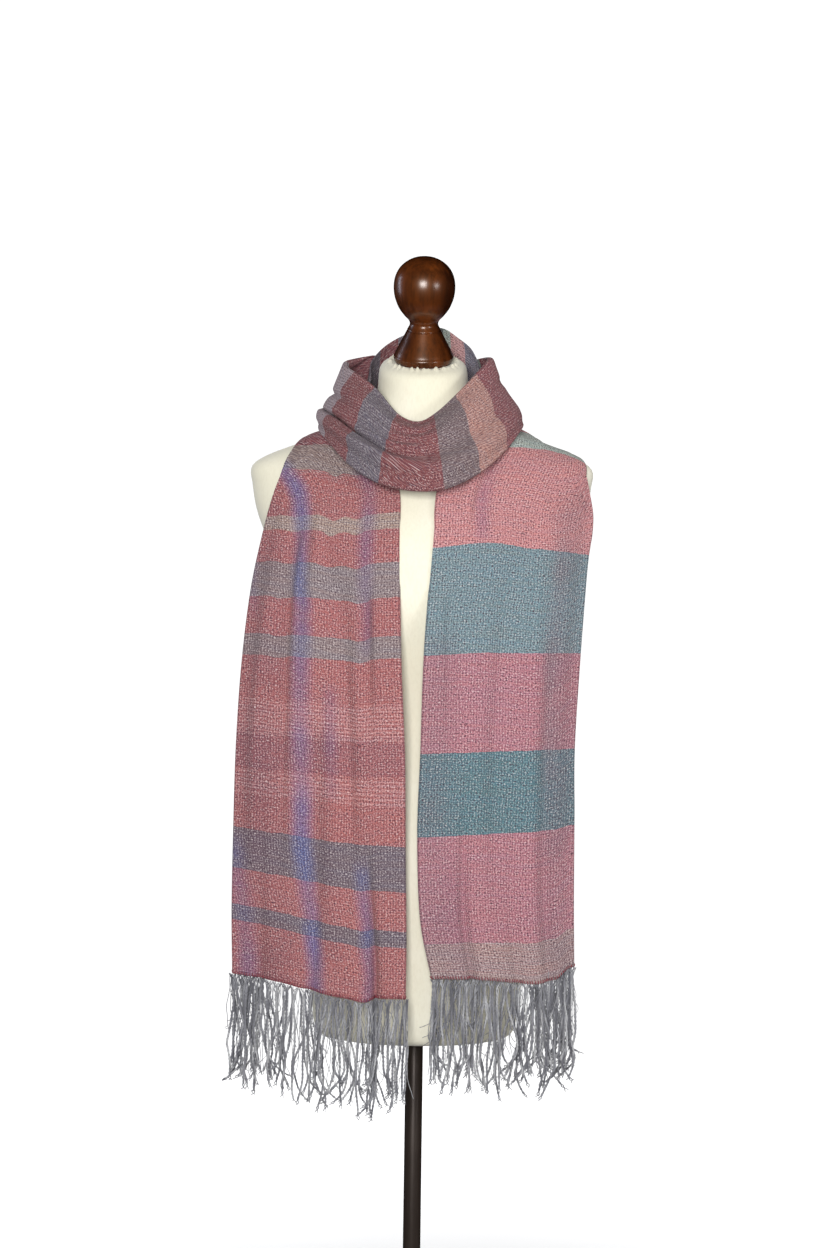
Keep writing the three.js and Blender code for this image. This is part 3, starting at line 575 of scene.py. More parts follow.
def cloth_surface(rows, layers_beneath, folds, hem_drop):
    """Middle surface of a length of cloth, as lines of weft from one end to the other.
    hem_drop is how much lower the hem hangs at its outer side."""
    places = np.arange(len(rows))
    at = np.linspace(0, len(rows) - 1, (len(rows) - 1) * LINES_PER_ROW + 1)
    inner = smooth_between(places, [row[0] for row in rows], at)
    outer = smooth_between(places, [row[1] for row in rows], at)
    brow, roll, crease, crease_at, dip, turn_in, turn_out = (
        smooth_between(places, [row[k] for row in rows], at) for k in range(2, 9))
    turn_in, turn_out = np.maximum(turn_in, 0), np.maximum(turn_out, 0)
    along = np.gradient((inner + outer) / 2, axis=0)
    across = outer - inner
    outward = np.cross(across, along)
    outward /= np.linalg.norm(outward, axis=1)[:, None]
    flip = np.sign(outward[:, 0] * outer[:, 0] + outward[:, 1] * outer[:, 1])
    outward *= flip[:, None]
    across /= np.linalg.norm(across, axis=1)[:, None]
    near_hem = np.clip(1 - at / HEM_DROP_ROWS, 0, 1) ** 1.5
    line = []
    for i in range(ACROSS + 1):
        share = i / ACROSS
        held = min(1, share / HELD_EDGE, (1 - share) / HELD_EDGE)
        held = held * held * (3 - 2 * held)
        push = brow * hump(share, BROW_AT, BROW_SPREAD) + roll * hump(share, ROLL_AT, ROLL_SPREAD)
        push = push - crease * hump(share, crease_at, CREASE_SPREAD)
        sag = dip * hump(share, DIP_AT, DIP_SPREAD)
        sag = sag + hem_drop * hump(share, HEM_DROP_AT, HEM_DROP_SPREAD) * held * near_hem
        for fold in folds:
            depth, drop = fold_here(fold, at, share)
            push, sag = push + depth, sag + drop
        point = inner + (outer - inner) * share + outward * (push * held)[:, None]
        point[:, 2] -= sag
        line.append(point)
    back = turned_edge(line[0], -across, outward, turn_in, ACROSS_IN)[::-1]
    under = turned_edge(line[-1], across, outward, turn_out, ACROSS_OUT)
    points = np.stack(back + line + under, axis=1)
    clearance = REST + LAYER * layers_beneath(at)
    return rest_on_form(points, clearance[:, None])


def fold_here(fold, at, share):
    """Height and sag of one fold: (first row, last row, place across at each end, height,
    spread, sag). A height below zero is a trough. The sag lies on its outer side."""
    first, last, across_first, across_last, height, spread, sag = fold
    t = np.clip((at - first) / (last - first), 0, 1)
    centre = across_first + (across_last - across_first) * t + FOLD_WANDER * np.sin(7 * t + 3 * first)
    along = np.sin(np.pi * t) ** 0.8
    outside = 1 / (1 + np.exp(-(share - centre) / SAG_SOFTNESS))
    drop = sag * hump(share, centre + SAG_ASIDE, SAG_SPREAD) * outside
    return height * along * hump(share, centre, spread), drop * along


def lengths_between(points, axis):
    """Length walked along an axis of a surface, from its start to each point."""
    steps = np.linalg.norm(np.diff(points, axis=axis), axis=-1)
    start = np.zeros_like(np.take(points[..., 0], [0], axis=axis))
    return np.concatenate([start, np.cumsum(steps, axis=axis)], axis=axis)


def cloth_shell(name, surface, maps, material):
    """Closed thin shell about a middle surface, with the maps that place its yarns."""
    weft = np.gradient(surface, axis=1)
    warp = np.gradient(surface, axis=0)
    normal = np.cross(weft, warp)
    normal /= np.maximum(np.linalg.norm(normal, axis=-1), 1e-12)[..., None]
    rows, columns = surface.shape[:2]
    points = np.concatenate([(surface + normal * side * CLOTH / 2).reshape(-1, 3) for side in (1, -1)])
    at = np.arange(rows * columns).reshape(rows, columns)
    below = at + rows * columns
    faces = []
    for j in range(rows - 1):
        for i in range(columns - 1):
            faces.append((at[j, i], at[j, i + 1], at[j + 1, i + 1], at[j + 1, i]))
            faces.append((below[j, i], below[j + 1, i], below[j + 1, i + 1], below[j, i + 1]))
        faces.append((at[j, 0], at[j + 1, 0], below[j + 1, 0], below[j, 0]))
        faces.append((at[j + 1, -1], at[j, -1], below[j, -1], below[j + 1, -1]))
    for i in range(columns - 1):
        faces.append((at[0, i + 1], at[0, i], below[0, i], below[0, i + 1]))
        faces.append((at[-1, i], at[-1, i + 1], below[-1, i + 1], below[-1, i]))
    faces = [tuple(map(int, face)) for face in faces]
    piece = new_piece(name, points, faces, material)
    corners = np.empty(len(piece.data.loops), int)
    piece.data.loops.foreach_get("vertex_index", corners)
    for map_name, (across, along) in maps.items():
        threads = np.stack([across.ravel(), along.ravel()], -1)
        threads = np.concatenate([threads, threads])
        layer = piece.data.uv_layers.new(name=map_name)
        layer.data.foreach_set("uv", threads[corners].astype(np.float32).ravel())
    return piece


# Weft yarns, as they show in soft daylight. The low grey, low pink and low teal are grey, pink and teal
# made darker for the bands low on the tails: painted shade, where the light falls off down the tails.
YARN = {
    "red": (166, 102, 102), "deep_red": (140, 84, 88), "mauve": (155, 96, 100), "wine": (128, 75, 76),
    "grey": (138, 126, 128), "charcoal": (118, 104, 106), "low_grey_painted_shade": (112, 102, 111),
    "slate": (108, 104, 113), "blue_grey": (124, 124, 138), "beige": (158, 146, 152),
    "stone": (168, 148, 137), "ash": (146, 130, 124), "rose_beige": (178, 136, 127),
    "pale_pink": (206, 160, 160), "shell": (166, 145, 144), "pink": (196, 134, 136),
    "low_pink_painted_shade": (175, 119, 130), "teal": (112, 140, 148), "low_teal_painted_shade": (87, 125, 134),
    "sage": (170, 186, 178), "moss": (120, 132, 128),
}
PALE_FIBRE, DARK_FIBRE, SLUB = (238, 226, 224), (74, 54, 66), (44, 36, 48)
WARM_LOT, COOL_LOT = (1.0, 0.92, 0.88, 1.0), (0.94, 0.95, 0.98, 1.0)
LONGEST = 1.5
WARP_PITCH, WEFT_PITCH = 0.0031, 0.0026
BAND_WOBBLE = 0.0018
YARN_WANDER = 5.0
STRIPE_END = 0.03


def woven_cloth(name, bands, pins, stripes):
    """Shot plain weave. bands are at most 32 weft colours with the length from the hem at which
    each ends, pins are stretches of fine weft lines, and stripes are blurred stripes along the
    warp: warp stripes, painted shade along folds and edges, and painted cool light on one edge."""
    finish = Finish(name)
    band_map = finish.node("SeparateXYZ", {0: finish.node("UVMap", uv_map="bands").outputs[0]})
    threads = finish.node("UVMap", uv_map="threads").outputs[0]
    split = finish.node("SeparateXYZ", {0: threads})
    across, along = split.outputs[0], split.outputs[1]
    wobble = finish.math("MULTIPLY_ADD", finish.noise(threads, 130, 2), BAND_WOBBLE, -BAND_WOBBLE / 2)
    place = finish.math("ADD", band_map.outputs[1], wobble)
    factor = finish.math("DIVIDE", place, LONGEST)
    starts = [0.0] + [end / LONGEST for end, _ in bands[:-1]]
    stops = [(start, dyed(YARN[colour])) for start, (_, colour) in zip(starts, bands)]
    colour = finish.ramp(factor, stops, "CONSTANT")
    for first, last, pitch, yarn, strength in pins:
        inside = finish.times(finish.math("GREATER_THAN", place, first),
                              finish.math("LESS_THAN", place, last))
        drift = finish.times(finish.noise(threads, 120, 1, 0.5, (0.05, 1, 1)), YARN_WANDER)
        turn = finish.math("MULTIPLY_ADD", band_map.outputs[1], 2 * math.pi / pitch, drift)
        line = finish.between(finish.math("SINE", turn), -0.1, 0.5, 0.0, strength)
        colour = finish.mix(finish.times(inside, line), colour, dyed(YARN[yarn]))
    lot = finish.between(finish.noise(threads, 210, 2, 0.6, (0.06, 1, 1)), 0.35, 0.65)
    colour = finish.mix(1.0, colour, finish.mix(lot, WARM_LOT, COOL_LOT), "MULTIPLY")
    patchy = finish.noise(threads, 16, 2, 0.6, (0.4, 1, 1))
    # Painted shade and painted light go on here with the warp stripes, as stripes along the warp.
    for centre, drift, spread, tint, strength, first, last in stripes:
        away = finish.math("SUBTRACT", across, finish.math("MULTIPLY_ADD", along, drift, centre))
        near = finish.between(finish.math("ABSOLUTE", away), 0.0, spread, 1.0, 0.0)
        ends = finish.times(finish.between(along, first, first + STRIPE_END),
                            finish.between(along, last, last - STRIPE_END))
        patchy_stripe_and_painted_light = finish.between(patchy, 0.34, 0.66, 0.5 * strength, 1.05 * strength)
        colour = finish.mix(finish.times(finish.times(near, patchy_stripe_and_painted_light), ends), colour, dyed(tint))
    warp = finish.noise(threads, 960, 1, 0.5, (1, 0.5, 1))
    weft = finish.noise(threads, 1020, 1, 0.5, (0.4, 1, 1))
    speck = finish.noise(threads, 1250, 1, 0.6)
    bend = finish.times(finish.noise(threads, 90, 1), YARN_WANDER)
    rib = finish.math("SINE", finish.math("MULTIPLY_ADD", across, 2 * math.pi / WARP_PITCH, bend))
    pick = finish.math("SINE", finish.math("MULTIPLY_ADD", along, 2 * math.pi / WEFT_PITCH, bend))
    grain = finish.times(pick, 0.045)
    for part, weight in ((rib, 0.06), (weft, 0.65), (warp, 0.85), (speck, 0.5)):
        grain = finish.math("MULTIPLY_ADD", part, weight, grain)
    colour = finish.mix(finish.between(grain, 1.04, 1.30, 0, 0.54), colour, dyed(PALE_FIBRE))
    colour = finish.mix(finish.between(grain, 1.01, 0.79, 0, 0.95), colour, dyed(DARK_FIBRE))
    slub = finish.noise(threads, 260, 2, 0.8, (0.35, 1.2, 1))
    colour = finish.mix(finish.between(slub, 0.68, 0.74, 0, 0.8), colour, dyed(SLUB))
    finish.surface(base_color=colour, roughness=0.95, sheen_weight=0.08, sheen_roughness=0.6,
                   sheen_tint=dyed((235, 220, 220)), specular_ior_level=0.15,
                   normal=finish.bump(grain, 0.5, 0.0006))
    return finish.material


BLUE = (78, 95, 152)
PURPLE = (104, 84, 128)
# Plum and smoke are the colours of painted shade, laid on as dark stripes along folds and edges.
PLUM_PAINTED_SHADE = (92, 60, 74)
SMOKE_PAINTED_SHADE = (104, 90, 100)
LEFT_BANDS = [
    # The two low grey bands near the hem are grey made darker: painted shade.
    (0.055, "red"), (0.075, "low_grey_painted_shade"), (0.117, "red"), (0.160, "low_grey_painted_shade"), (0.231, "red"),
    (0.271, "mauve"), (0.355, "red"), (0.376, "grey"), (0.417, "red"), (0.452, "grey"), (0.492, "red"),
    (0.509, "stone"), (0.558, "red"), (0.598, "ash"), (0.680, "deep_red"), (0.730, "grey"),
    (0.800, "deep_red"), (0.850, "blue_grey"), (0.905, "pink"), (0.945, "sage"), (0.972, "deep_red"),
    (0.990, "slate"), (1.078, "deep_red"), (1.124, "rose_beige"), (1.162, "charcoal"), (1.224, "wine"),
    (1.271, "slate"), (1.318, "wine"), (1.366, "beige"), (1.500, "deep_red"),
]
LEFT_PINS = [
    (0.204, 0.231, 0.0046, "pale_pink", 0.45), (0.271, 0.31, 0.0042, "pale_pink", 0.52),
    (0.492, 0.509, 0.003, "grey", 0.5), (0.558, 0.598, 0.003, "grey", 0.5),
]
# Warp stripes and stripes of painted shade: place across, drift with length, spread, colour, strength,
# first and last length.
# Places across count the inner edge as INNER_EDGE.
INNER_EDGE = 0.05
LEFT_STRIPES_AND_SHADE = [
    (0.163, 0, 0.019, BLUE, 0.44, -0.05, 0.62), (0.163, 0, 0.017, BLUE, 0.5, -0.05, 0.22),
    (0.163, 0, 0.017, BLUE, 0.5, 0.36, 0.6), (0.1007, -0.036, 0.016, BLUE, 0.6, -0.05, 0.16),
    # The blue stripe at 0.242, by the outer edge near the hem, is painted light: the cool blue that a side
    # light gives that edge.
    (0.1007, -0.036, 0.016, PURPLE, 0.5, 0.36, 0.6), (0.242, 0, 0.02, BLUE, 0.42, -0.05, 0.16),
    (0.13, 0, 0.013, PURPLE, 0.4, 0.2, 0.34), (0.228, 0, 0.013, BLUE, 0.35, 0.38, 0.5),
    # The two plum stripes are painted shade: the darker outer side of the left tail and a fold low on it.
    (0.215, 0, 0.05, PLUM_PAINTED_SHADE, 0.45, -0.1, 0.7), (0.14, 0, 0.02, PLUM_PAINTED_SHADE, 0.25, 0.02, 0.3),
]
RIGHT_BANDS = [
    # The low pink and low teal bands low on the tail are pink and teal made darker: painted shade.
    (0.034, "shell"), (0.150, "low_pink_painted_shade"), (0.237, "low_teal_painted_shade"), (0.345, "low_pink_painted_shade"), (0.460, "teal"),
    # The blue_grey band that ends at 0.706 lies behind the neck, in shade. It is given this lighter yarn
    # partly as painted light.
    (0.582, "pink"), (0.628, "sage"), (0.645, "pink"), (0.706, "blue_grey"), (0.734, "pale_pink"),
    (0.748, "sage"), (0.776, "moss"), (0.790, "sage"), (0.812, "slate"), (0.840, "wine"),
    (1.500, "slate"),
]
RIGHT_PINS = [(0, 0.034, 0.003, "mauve", 0.35)]
# All the right half's stripes are painted shade, dark along its folds and edges.
RIGHT_SHADE_STRIPES = [
    (0.192, 0, 0.016, (118, 108, 116), 0.5, 0.2, 0.5), (0.1, 0, 0.014, (128, 84, 120), 0.4, 0.46, 0.58),
    (0.085, 0, 0.03, (120, 80, 104), 0.3, -0.05, 0.14), (0.205, 0, 0.036, SMOKE_PAINTED_SHADE, 0.45, -0.1, 0.55),
    (0.06, 0, 0.04, SMOKE_PAINTED_SHADE, 0.35, -0.1, 0.38),
]
# Slant of the bands: row, and how many rows a band rises or falls there from edge to edge
LEFT_SLANT = [(0, 0), (6.2, 0), (7.3, 0.55), (8.2, 0.9), (11, 0.6), (15, 0), (32, 0)]
RIGHT_SLANT = [(0, 0), (4.1, 0), (5.9, 0.35), (8.5, 1.7), (9.5, 1.2), (12, 0), (20, 0)]
# Folds, as fold_here describes them
LEFT_FOLDS = [
    (1, 8.8, 0.74, 0.72, -0.0085, 0.034, 0.003), (5, 8.9, 0.45, 0.38, -0.0125, 0.026, 0.007),
    (3, 7.9, 0.19, 0.24, -0.0085, 0.03, 0.005), (-1.8, 2.2, 0.17, 0.19, -0.011, 0.018, 0.004),
    (3, 8.4, 0.58, 0.56, 0.0055, 0.06, 0), (-2, 3.4, 0.57, 0.5, -0.006, 0.046, 0.001),
    (-2.5, 2.6, 0.82, 0.86, -0.005, 0.044, 0), (0.6, 4.8, 0.34, 0.31, -0.005, 0.04, 0),
    (1.5, 5.4, 0.9, 0.87, 0.004, 0.04, 0), (6.4, 8.9, 0.86, 0.82, -0.006, 0.03, 0),
    (23.4, 29.4, 0.57, 0.76, -0.0125, 0.02, 0), (23.4, 28.8, 0.47, 0.67, 0.007, 0.05, 0),
    (22.8, 27.4, 0.86, 0.93, -0.008, 0.04, 0), (22.6, 26.4, 0.24, 0.34, -0.005, 0.06, 0),
    (23.6, 27.6, 0.72, 0.84, 0.0045, 0.045, 0), (26, 29.8, 0.36, 0.5, -0.0055, 0.05, 0),
    (19.2, 22.6, 0.66, 0.5, -0.0025, 0.07, 0), (18.4, 20.8, 0.34, 0.28, -0.003, 0.06, 0),
    (12.4, 17.6, 0.3, 0.42, -0.0042, 0.05, 0), (13, 18.8, 0.66, 0.55, -0.005, 0.045, 0),
    (11.2, 15.2, 0.84, 0.8, -0.0035, 0.04, 0), (14.2, 18, 0.16, 0.2, 0.0025, 0.04, 0),
]
RIGHT_FOLDS = [
    (5.4, 8.9, 0.28, 0.29, -0.012, 0.03, 0), (5.4, 8.6, 0.17, 0.18, 0.005, 0.05, 0),
    (-1.6, 4.6, 0.85, 0.8, -0.006, 0.045, 0), (-2, 2.8, 0.26, 0.29, -0.0085, 0.036, 0),
    (0.6, 5.4, 0.5, 0.47, -0.0045, 0.06, 0), (6.4, 9.6, 0.62, 0.58, 0.005, 0.07, -0.004),
    (2.4, 6.6, 0.7, 0.68, 0.005, 0.06, 0), (-2.2, 2.2, 0.62, 0.6, -0.0055, 0.046, 0),
    (2.2, 6.8, 0.16, 0.13, -0.005, 0.04, 0), (9.4, 12.6, 0.3, 0.36, -0.003, 0.06, 0),
    (12.6, 17.4, 0.36, 0.3, -0.003, 0.05, 0), (13.2, 16.6, 0.66, 0.7, -0.003, 0.05, 0),
]

right_rows = TAIL_RIGHT_ROWS[::-1] + loop_rows(NAPE_INNER_ROWS)
left_rows = (loop_rows(COWL_ROWS + NAPE_OUTER_ROWS) + TAIL_LEFT_ROWS)[::-1]
at_left_shoulder = len(TAIL_LEFT_ROWS) - 1
right_surface = cloth_surface(right_rows, lambda at: at * 0, RIGHT_FOLDS, HEM_DROP)
left_surface = cloth_surface(left_rows, lambda at: np.clip(at - at_left_shoulder, 0, 1), LEFT_FOLDS, 0.0)


def scarf_half(name, surface, slant, hem_drop, material, nodes):
    """One half of the scarf with its two maps, and the flat width and length of its cloth."""
    across, along = lengths_between(surface, 1), lengths_between(surface, 0)
    across = across - across[:, ACROSS_IN][:, None] + INNER_EDGE
    rows = np.arange(surface.shape[0]) / LINES_PER_ROW
    share = (np.arange(surface.shape[1]) - ACROSS_IN) / ACROSS
    lean = smooth_between([row for row, _ in slant], [rise for _, rise in slant], rows)
    middle = along[:, ACROSS_IN + ACROSS // 2] - hem_drop / 2
    bands = np.interp(rows[:, None] - lean[:, None] * (np.clip(share, 0, 1) - 0.5), rows, middle)
    maps = {"bands": (across, bands), "threads": (across, along)}
    piece = cloth_shell(name, surface, maps, material)
    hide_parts(*nodes)
    area = float(np.sum(np.diff(across, axis=1)[:-1] * np.diff(along, axis=0)[:, :-1]))
    width = float((across[:, -1] - across[:, 0]).max())
    return piece, [width, area / width]


right_weave = woven_cloth("rose_and_teal_weave", RIGHT_BANDS, RIGHT_PINS, RIGHT_SHADE_STRIPES)
left_weave = woven_cloth("red_and_grey_weave", LEFT_BANDS, LEFT_PINS, LEFT_STRIPES_AND_SHADE)
right_cloth, right_cut = scarf_half("scarf_right_half", right_surface, RIGHT_SLANT, HEM_DROP,
                                    right_weave, ("tail_right", "nape_inner"))
left_cloth, left_cut = scarf_half("scarf_left_half", left_surface, LEFT_SLANT, 0.0,
                                  left_weave, ("cowl", "nape_outer", "tail_left"))


# Hems. The cut edge of each end is overcast by hand in dark red thread, one slanting stitch
# beside the other, from the front over the edge to the back.
STITCH_PITCH = 0.0028
STITCH_HEIGHT = 0.0034
STITCH_RADIUS = 0.00045
STITCH_SLANT = 0.0015
STITCH_DROP = 0.0002
STITCH_STEPS = 8
HEM_PROBE = 0.001
HEM_LINE_ABOVE = 4


def hem_thread():
    finish = Finish("dark_red_hem_thread")
    fibre = finish.noise(finish.place(), 1400, 2)
    colour = finish.mix(fibre, dyed((104, 30, 44)), dyed((160, 62, 76)))
    finish.surface(base_color=colour, roughness=0.8, sheen_weight=0.2,
                   normal=finish.bump(fibre, 0.4, 0.0002))
    return finish.material


def tube(points, faces, path, radii, sides):
    """Adds a round tube along a path to a list of points and faces."""
    start = len(points)
    path = np.asarray(path, float)
    way = np.gradient(path, axis=0)
    way /= np.maximum(np.linalg.norm(way, axis=1), 1e-9)[:, None]
    side = np.cross(way, (0.31, 0.93, 0.19))
    side /= np.maximum(np.linalg.norm(side, axis=1), 1e-9)[:, None]
    other = np.cross(way, side)
    radii = np.broadcast_to(radii, len(path))
    for k in range(len(path)):
        for i in range(sides):
            turn = 2 * math.pi * i / sides
            points.append(path[k] + radii[k] * (side[k] * math.cos(turn) + other[k] * math.sin(turn)))
    for k in range(len(path) - 1):
        for i in range(sides):
            a, b = start + k * sides + i, start + k * sides + (i + 1) % sides
            faces.append((a, b, b + sides, a + sides))
    end = start + (len(path) - 1) * sides
    faces.append(tuple(reversed(range(start, start + sides))))
    faces.append(tuple(range(end, end + sides)))


def unit(way):
    return way / max(np.linalg.norm(way), 1e-9)


def hem_places(surface, pitch, jitter, seed):
    """Places along a hem with the directions across, outward and down at each."""
    rng = random.Random(seed)
    steps = lengths_between(surface[:1], 1)[0]

    def point(line, where):
        return np.array([np.interp(where, steps, surface[line, :, axis]) for axis in range(3)])

    count = int(steps[-1] / pitch)
    places = []
    for k in range(count):
        where = (k + 0.5 + jitter * rng.uniform(-0.5, 0.5)) / count * steps[-1]
        here = point(0, where)
        across = unit(point(0, where + HEM_PROBE) - here)
        down = unit(here - point(HEM_LINE_ABOVE, where))
        places.append((here, across, unit(np.cross(down, across)), down))
    return places


def overcast_hem(name, surface, thread):
    points, faces = [], []
    thick = CLOTH / 2 + STITCH_RADIUS
    for place, across, outward, down in hem_places(surface, STITCH_PITCH, jitter=0.3, seed=2):
        path = []
        for k in range(STITCH_STEPS + 1):
            turn = math.pi * k / STITCH_STEPS
            rise = STITCH_HEIGHT * math.cos(turn) ** 2 - STITCH_DROP
            aside = STITCH_SLANT * (k / STITCH_STEPS - 0.5)
            lift = thick * math.cos(turn) * (1.25 if 0 < k < STITCH_STEPS else 0.9)
            path.append(place + outward * lift + across * aside - down * rise)
        tube(points, faces, path, STITCH_RADIUS, 5)
    piece = new_piece(name, points, faces, thread)
    return piece


thread = hem_thread()
right_hem = overcast_hem("right_hem_stitches", right_surface, thread)
left_hem = overcast_hem("left_hem_stitches", left_surface, thread)


# Fringes. The warp ends below each hem, drawn together and twisted in pairs into soft cords.
# They bunch where they touch, their ends curl and fray, and loose threads hang between them.
STRAND_RINGS = 46
PLY_RADIUS = 0.00100
PLY_OFFSET = PLY_RADIUS * 0.62
PLY_TWIST = 0.0085
CORD_TAPER = [(0, 0.55), (0.15, 1), (0.93, 0.85), (1, 0.45)]  # share of the length, share of the radius
KNOT_SIZES, KNOT_LENGTH = (0, 0, 0.8), 0.014
FRAY_FROM, FRAY = 0.93, 3.0
DRAWN_BY, CURL_FROM = 0.7, 0.72
ROOT_SPREAD = 0.0034
ROOT_DROP = 0.0006
MERGE_AT = 0.015
LAYER_GAP = 0.0012
LOOSE_RADIUS = 0.0004
LOOSE_PER_CORD = 5


def grey_yarn():
    """Mid-grey wool, two plies, with paler and darker fibres."""
    finish = Finish("grey_twisted_yarn")
    place = finish.place()
    mottle = finish.noise(place, 900, 2, 0.7, (1, 1, 0.4))
    cord = finish.noise(place, 260, 1, 0.5, (1, 1, 0.05))
    colour = finish.ramp(cord, [(0.32, dyed((98, 98, 105))), (0.5, dyed((138, 138, 144))),
                                (0.68, dyed((188, 188, 190)))])
    colour = finish.mix(finish.between(mottle, 0.4, 0.7, 0, 0.35), colour, dyed((92, 92, 98)))
    finish.surface(base_color=colour, roughness=0.95, sheen_weight=0.2, sheen_roughness=0.6,
                   specular_ior_level=0.2, normal=finish.bump(mottle, 0.5, 0.0004))
    return finish.material


def strand_path(place, length, lean, rng):
    """Middle of one cord, from the hem down, drawn towards its bunch and then free again."""
    sway, phase = rng.uniform(0.0016, 0.0056), rng.uniform(0, 6.28)
    waves = rng.uniform(4, 9)
    free = rng.uniform(0.3, 1.3)
    hook = rng.choice((0, 0, 0, 1, -1)) * rng.uniform(0.006, 0.016)
    back = rng.uniform(-0.005, 0.004)
    path = []
    for k in range(STRAND_RINGS + 1):
        t = k / STRAND_RINGS
        drawn = min(1, t / DRAWN_BY)
        drawn = drawn * drawn * (3 - 2 * drawn)
        curl = max(t - CURL_FROM, 0) / (1 - CURL_FROM)
        x = lean * drawn * (1 - free * curl) + hook * curl**2
        x += sway * (t**0.8 * math.sin(waves * t + phase) + 0.25 * t * math.sin(2.9 * waves * t))
        y = back * t + sway * t * math.cos(6 * t + phase)
        path.append(place + np.array([x, y, -length * t + abs(hook) * 0.35 * curl**2]))
    return np.array(path)


def ply_offsets(fallen, length, across, outward, first_turn, ply):
    """Distance of one ply from the middle of its cord. The plies are apart at the hem, twisted
    below it, and frayed at the end."""
    merge = np.clip(fallen / MERGE_AT, 0, 1)
    turn = first_turn * merge + ply + 2 * math.pi * np.maximum(fallen - MERGE_AT, 0) / PLY_TWIST
    reach = ROOT_SPREAD * (1 - merge) ** 1.5 + PLY_OFFSET
    fray = 1 + FRAY * np.clip((fallen / length - FRAY_FROM) / (1 - FRAY_FROM), 0, 1)
    sideways, forward = np.cos(turn) * reach * fray, np.sin(turn) * PLY_OFFSET * fray
    return sideways[:, None] * across + forward[:, None] * outward


def fringe(name, surface, node, pitch, length, bunch, layers, seed, yarn):
    """Cords in bunches of a few, in layers one behind the other, with loose threads between."""
    rng = random.Random(seed)
    points, faces = [], []
    for layer in range(layers):
        places = hem_places(surface, pitch, 0.4, seed + layer)
        k = 0
        while k < len(places):
            size = rng.randint(*bunch)
            group = places[k:k + size]
            middle = sum(place[0][0] for place in group) / len(group) + rng.uniform(-0.003, 0.003)
            bunch_length = length * rng.uniform(0.93, 1.03)
            for place, across, outward, down in group:
                lean = (middle - place[0]) * rng.uniform(0.3, 1.1) + rng.gauss(0, 0.0045)
                root = place + down * ROOT_DROP - outward * LAYER_GAP * layer
                own_length = bunch_length * rng.uniform(0.84, 1.05)
                path = strand_path(root, own_length, lean, rng)
                share = np.linspace(0, 1, len(path))
                first_turn = rng.uniform(0, 6.28)
                knot = rng.choice(KNOT_SIZES) * hump(share, rng.uniform(0.88, 0.93), KNOT_LENGTH)
                radii = PLY_RADIUS * (np.interp(share, *zip(*CORD_TAPER)) + knot)
                for ply in (0, math.pi):
                    offset = ply_offsets(share * own_length, own_length, across, outward, first_turn, ply)
                    tube(points, faces, path + offset, radii, 4)
            k += size
    for place, _, outward, down in hem_places(surface, pitch / LOOSE_PER_CORD, 0.9, seed + layers):
        own_length = length * rng.uniform(0.3, 0.9)
        root = place + down * ROOT_DROP - outward * LAYER_GAP * rng.uniform(1, layers)
        path = strand_path(root, own_length, rng.gauss(0, 0.005), rng)
        tube(points, faces, path, LOOSE_RADIUS, 3)
    piece = new_piece(name, points, faces, yarn)
    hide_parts(node)
    return piece


yarn = grey_yarn()
left_fringe = fringe("left_fringe", left_surface, "fringe_left", pitch=0.0094, length=0.121,
                     bunch=(2, 4), layers=3, seed=5, yarn=yarn)
right_fringe = fringe("right_fringe", right_surface, "fringe_right", pitch=0.0080, length=0.119,
                      bunch=(2, 5), layers=3, seed=9, yarn=yarn)


# Studio. A round white cove with no corners, soft panels of light, and a camera level with
# the form's chest, 2.6 m in front of it.
COVE_RADIUS = 7.0
COVE_BEND = 2.0
COVE_HEIGHT = 7.0
COVE_SIDES = 96
BEND_STEPS = 12
GLOW_REACH = (0.5, 1.9)
GLOW_STRENGTH = (0.15, 0.85)
PANELS = [  # name, place, what it faces, width, height, watts, colour, and whether a polish shows it
    ("front_panel", (-0.2, -2.3, 1.24), (0, 0, 0.9), 0.8, 0.8, 46, (1, 1, 1), True),
    ("right_panel", (1.6, -1.6, 1.15), (0, 0, 1.05), 0.5, 0.5, 10, (1, 1, 1), True),
    ("left_panel", (-2.3, 0.7, 1.6), (0, 0, 1.1), 0.4, 1.4, 9, (0.72, 0.8, 1.0), True),
    ("back_panel", (-0.9, 2.4, 1.9), (0, 0, 1.0), 0.8, 1.0, 24, (1, 1, 1), False),
    ("back_right_panel", (2.3, 1.3, 1.8), (0, 0, 1.0), 0.5, 1.0, 12, (1, 1, 1), False),
]
ROOM_LIGHT = 0.28
CAMERA_PLACE = (-0.0044, -2.6, 0.975)
CAMERA_ROLL = math.radians(0.77)
CAMERA_LENS = 66.96


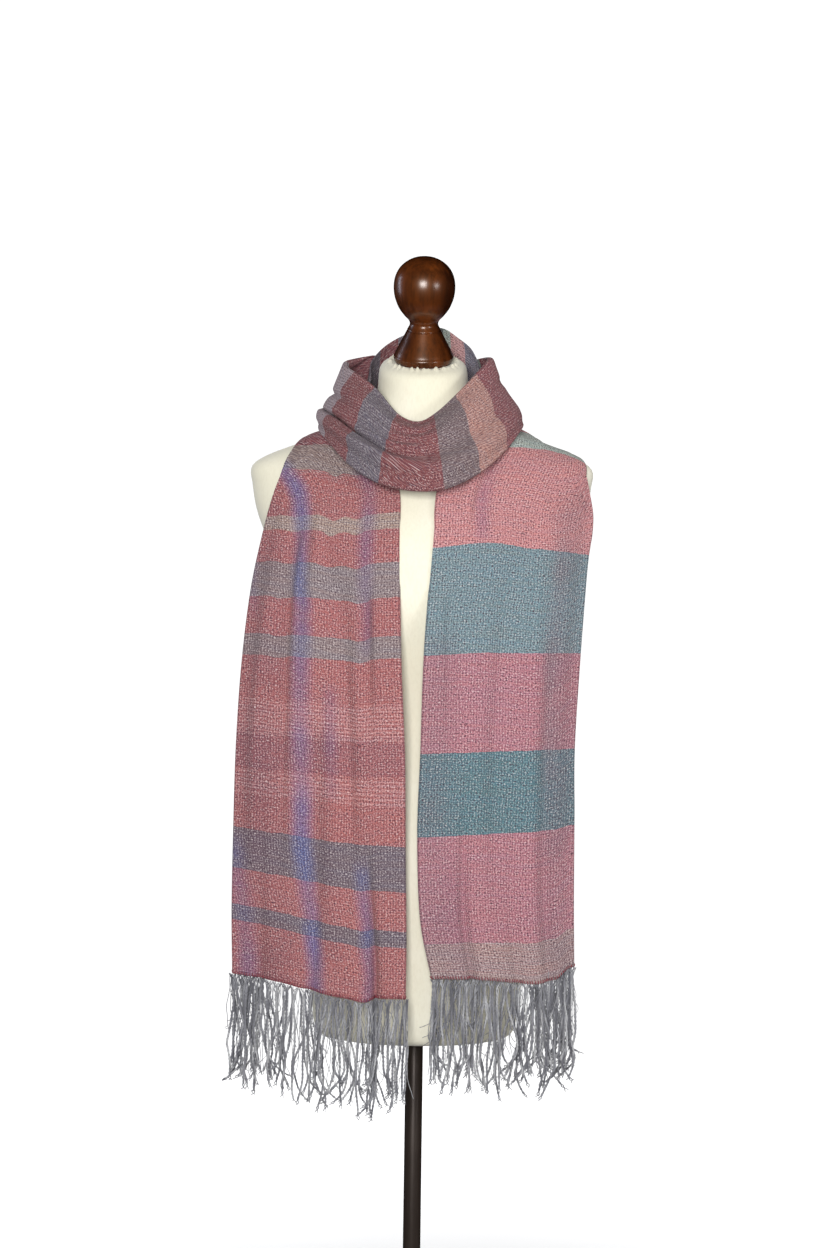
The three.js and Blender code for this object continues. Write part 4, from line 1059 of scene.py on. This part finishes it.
def white_cove():
    """A floor that bends up into a round wall. It glows more and more away from the stand."""
    finish = Finish("white_paper")
    place = finish.place()
    colour = finish.mix(finish.noise(place, 40, 2), dyed((228, 228, 229)), dyed((232, 232, 232)))
    away = finish.node("VectorMath", {0: place}, operation="LENGTH").outputs["Value"]
    glow = finish.between(away, *GLOW_REACH, *GLOW_STRENGTH)
    finish.surface(base_color=colour, roughness=0.9, emission_color=dyed((255, 255, 255)),
                   emission_strength=glow)
    profile = [(0.0, 0.0), (COVE_RADIUS * 0.5, 0.0)]
    for k in range(BEND_STEPS + 1):
        turn = math.pi / 2 * k / BEND_STEPS
        profile.append((COVE_RADIUS + COVE_BEND * math.sin(turn), COVE_BEND * (1 - math.cos(turn))))
    profile.append((COVE_RADIUS + COVE_BEND, COVE_HEIGHT))
    points, faces = spun(profile, COVE_SIDES)
    mesh = bpy.data.meshes.new("white_cove")
    mesh.from_pydata(points, [], [face[::-1] for face in faces])
    mesh.materials.append(finish.material)
    cove = bpy.data.objects.new("white_cove", mesh)
    bpy.context.scene.collection.objects.link(cove)
    cove.visible_diffuse = False
    cove.visible_glossy = False
    cove.visible_shadow = False


def soft_panel(name, place, aim, width, height, power, colour, mirrored):
    light = bpy.data.lights.new(name, "AREA")
    light.shape, light.size, light.size_y = "RECTANGLE", width, height
    light.energy, light.color = power, colour
    panel = bpy.data.objects.new(name, light)
    panel.location = place
    panel.rotation_euler = (Vector(aim) - Vector(place)).to_track_quat("-Z", "Y").to_euler()
    panel.visible_glossy = mirrored
    bpy.context.scene.collection.objects.link(panel)


white_cove()
for panel in PANELS:
    soft_panel(*panel)

world = bpy.data.worlds.new("soft_daylight")
world.use_nodes = True
world.node_tree.nodes["Background"].inputs[0].default_value = (1, 1, 1, 1)
world.node_tree.nodes["Background"].inputs[1].default_value = ROOM_LIGHT
bpy.context.scene.world = world
world.cycles_visibility.glossy = False
bpy.context.scene.view_settings.view_transform = "Standard"

lens = bpy.data.cameras.new("camera")
lens.lens = CAMERA_LENS
lens.sensor_width = 36
camera = bpy.data.objects.new("camera", lens)
camera.location = CAMERA_PLACE
turn = Matrix.Rotation(math.pi / 2, 3, "X") @ Matrix.Rotation(CAMERA_ROLL, 3, "Z")
camera.rotation_euler = turn.to_euler()
bpy.context.scene.collection.objects.link(camera)
bpy.context.scene.camera = camera
